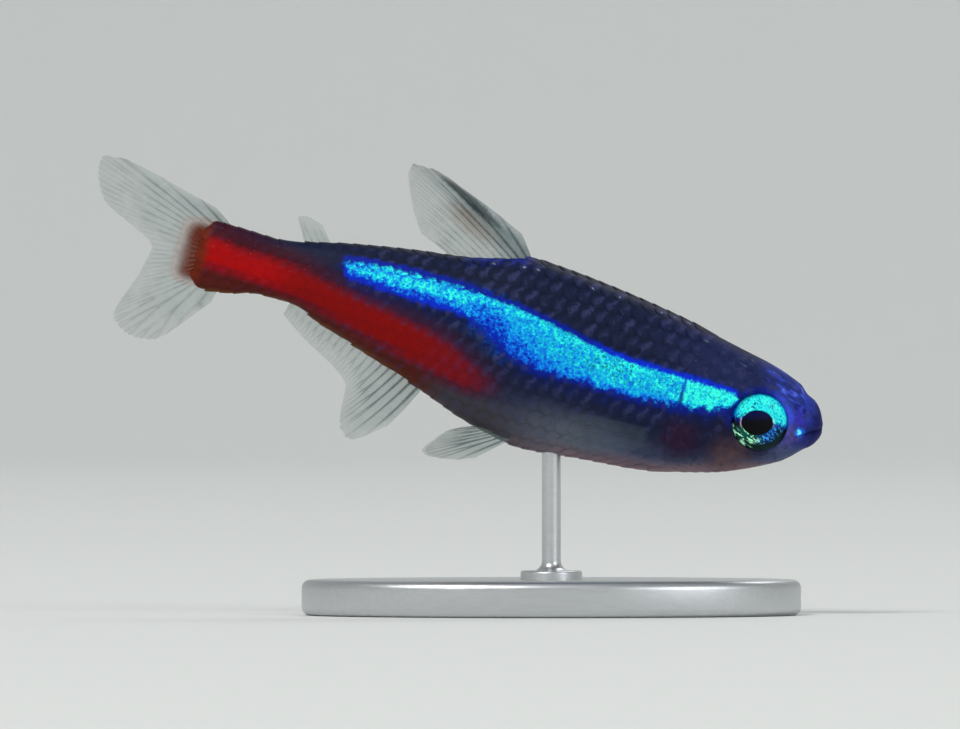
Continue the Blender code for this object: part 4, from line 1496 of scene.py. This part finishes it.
class TETRA_OT_stage(bpy.types.Operator):
    """Makes the pale floor that sweeps up all round, the lights and the camera"""

    bl_idname = "tetra.stage"
    bl_label = "Stage"

    def execute(self, context):
        stage = context.scene.tetra_stage
        self.add_floor(stage)
        self.add_lights()
        self.add_camera(stage)
        context.scene.view_settings.view_transform = "Standard"
        return {"FINISHED"}

    def add_floor(self, stage):
        """A floor that curves up into a wall on every side."""
        flat, sweep, wall = 0.80, 0.90, 1.6
        profile = [(0.0, 0.0), (flat * 0.5, 0.0)]
        for step in range(17):
            turn = math.pi / 2 * step / 16
            profile.append((flat + sweep * math.sin(turn), sweep * (1 - math.cos(turn))))
        profile.append((flat + sweep, wall))
        paint = Paint("floor")
        paint.surface(Base_Color=tuple(stage.floor), Roughness=0.9, Specular_IOR_Level=0.1)
        floor = finish_piece("floor", turned(profile, 96, 1e-6), paint.material, fish=False)

    def add_lights(self):
        aim = Vector((0.0, 0.0, 0.012))
        for name, place, size, power, ink in (
            ("key", (-0.55, -0.75, 1.05), 0.55, 9.0, (1.0, 0.985, 0.96)),
            ("fill", (0.85, -0.80, 0.55), 0.70, 3.2, (0.95, 0.98, 1.0)),
            ("back", (0.35, 0.80, 1.10), 0.60, 3.2, (1.0, 1.0, 1.0)),
        ):
            light = bpy.data.lights.new(name, "AREA")
            light.shape = "DISK"
            light.size = size
            light.energy = power
            light.color = ink
            lamp = bpy.data.objects.new(name, light)
            lamp.location = place
            lamp.rotation_euler = (aim - Vector(place)).to_track_quat("-Z", "Y").to_euler()
            bpy.context.scene.collection.objects.link(lamp)
        world = bpy.data.worlds.new("studio")
        world.use_nodes = True
        sky = world.node_tree.nodes["Background"]
        sky.inputs["Color"].default_value = (0.90, 0.93, 0.97, 1.0)
        sky.inputs["Strength"].default_value = 0.38
        bpy.context.scene.world = world

    def add_camera(self, stage):
        """The camera looks level along +Y at the fish's right side, as the photograph does."""
        view_height, view_side = 0.01054, -0.0030
        camera = bpy.data.cameras.new("camera")
        camera.sensor_width = 36.0
        camera.lens = camera.sensor_width * stage.distance / stage.width_seen
        camera.clip_start = 0.01
        camera.clip_end = 10.0
        eye = bpy.data.objects.new("camera", camera)
        eye.location = (view_side, -stage.distance, view_height)
        eye.rotation_euler = (math.pi / 2, 0.0, 0.0)
        bpy.context.scene.collection.objects.link(eye)
        bpy.context.scene.camera = eye


OPERATORS = (
    TETRA_OT_skin,
    TETRA_OT_scales,
    TETRA_OT_eyes,
    TETRA_OT_middle_fins,
    TETRA_OT_paired_fins,
    TETRA_OT_stand,
    TETRA_OT_stage,
)


class TETRA_PT_panel(bpy.types.Panel):
    """Lists the pieces of the model and the sizes and colours of each"""

    bl_label = "Neon tetra"
    bl_idname = "TETRA_PT_panel"
    bl_space_type = "VIEW_3D"
    bl_region_type = "UI"
    bl_category = "Neon tetra"

    def draw(self, context):
        for operator in OPERATORS:
            self.layout.operator(operator.bl_idname)
        for name in SETTINGS:
            box = self.layout.box()
            group = getattr(context.scene, name)
            for key in group.bl_rna.properties.keys():
                if key not in ("rna_type", "name"):
                    box.prop(group, key)


CLASSES = (*SETTINGS.values(), *OPERATORS, TETRA_PT_panel)


def register():
    for made in CLASSES:
        bpy.utils.register_class(made)
    for name, group in SETTINGS.items():
        setattr(bpy.types.Scene, name, bpy.props.PointerProperty(type=group))


def unregister():
    for name in SETTINGS:
        delattr(bpy.types.Scene, name)
    for made in reversed(CLASSES):
        bpy.utils.unregister_class(made)


def main():
    register()
    bpy.ops.tetra.skin()
    bpy.ops.tetra.scales()
    bpy.ops.tetra.eyes()
    bpy.ops.tetra.middle_fins()
    bpy.ops.tetra.paired_fins()
    bpy.ops.tetra.stand()
    bpy.ops.tetra.stage()


if __name__ == "__main__":
    main()
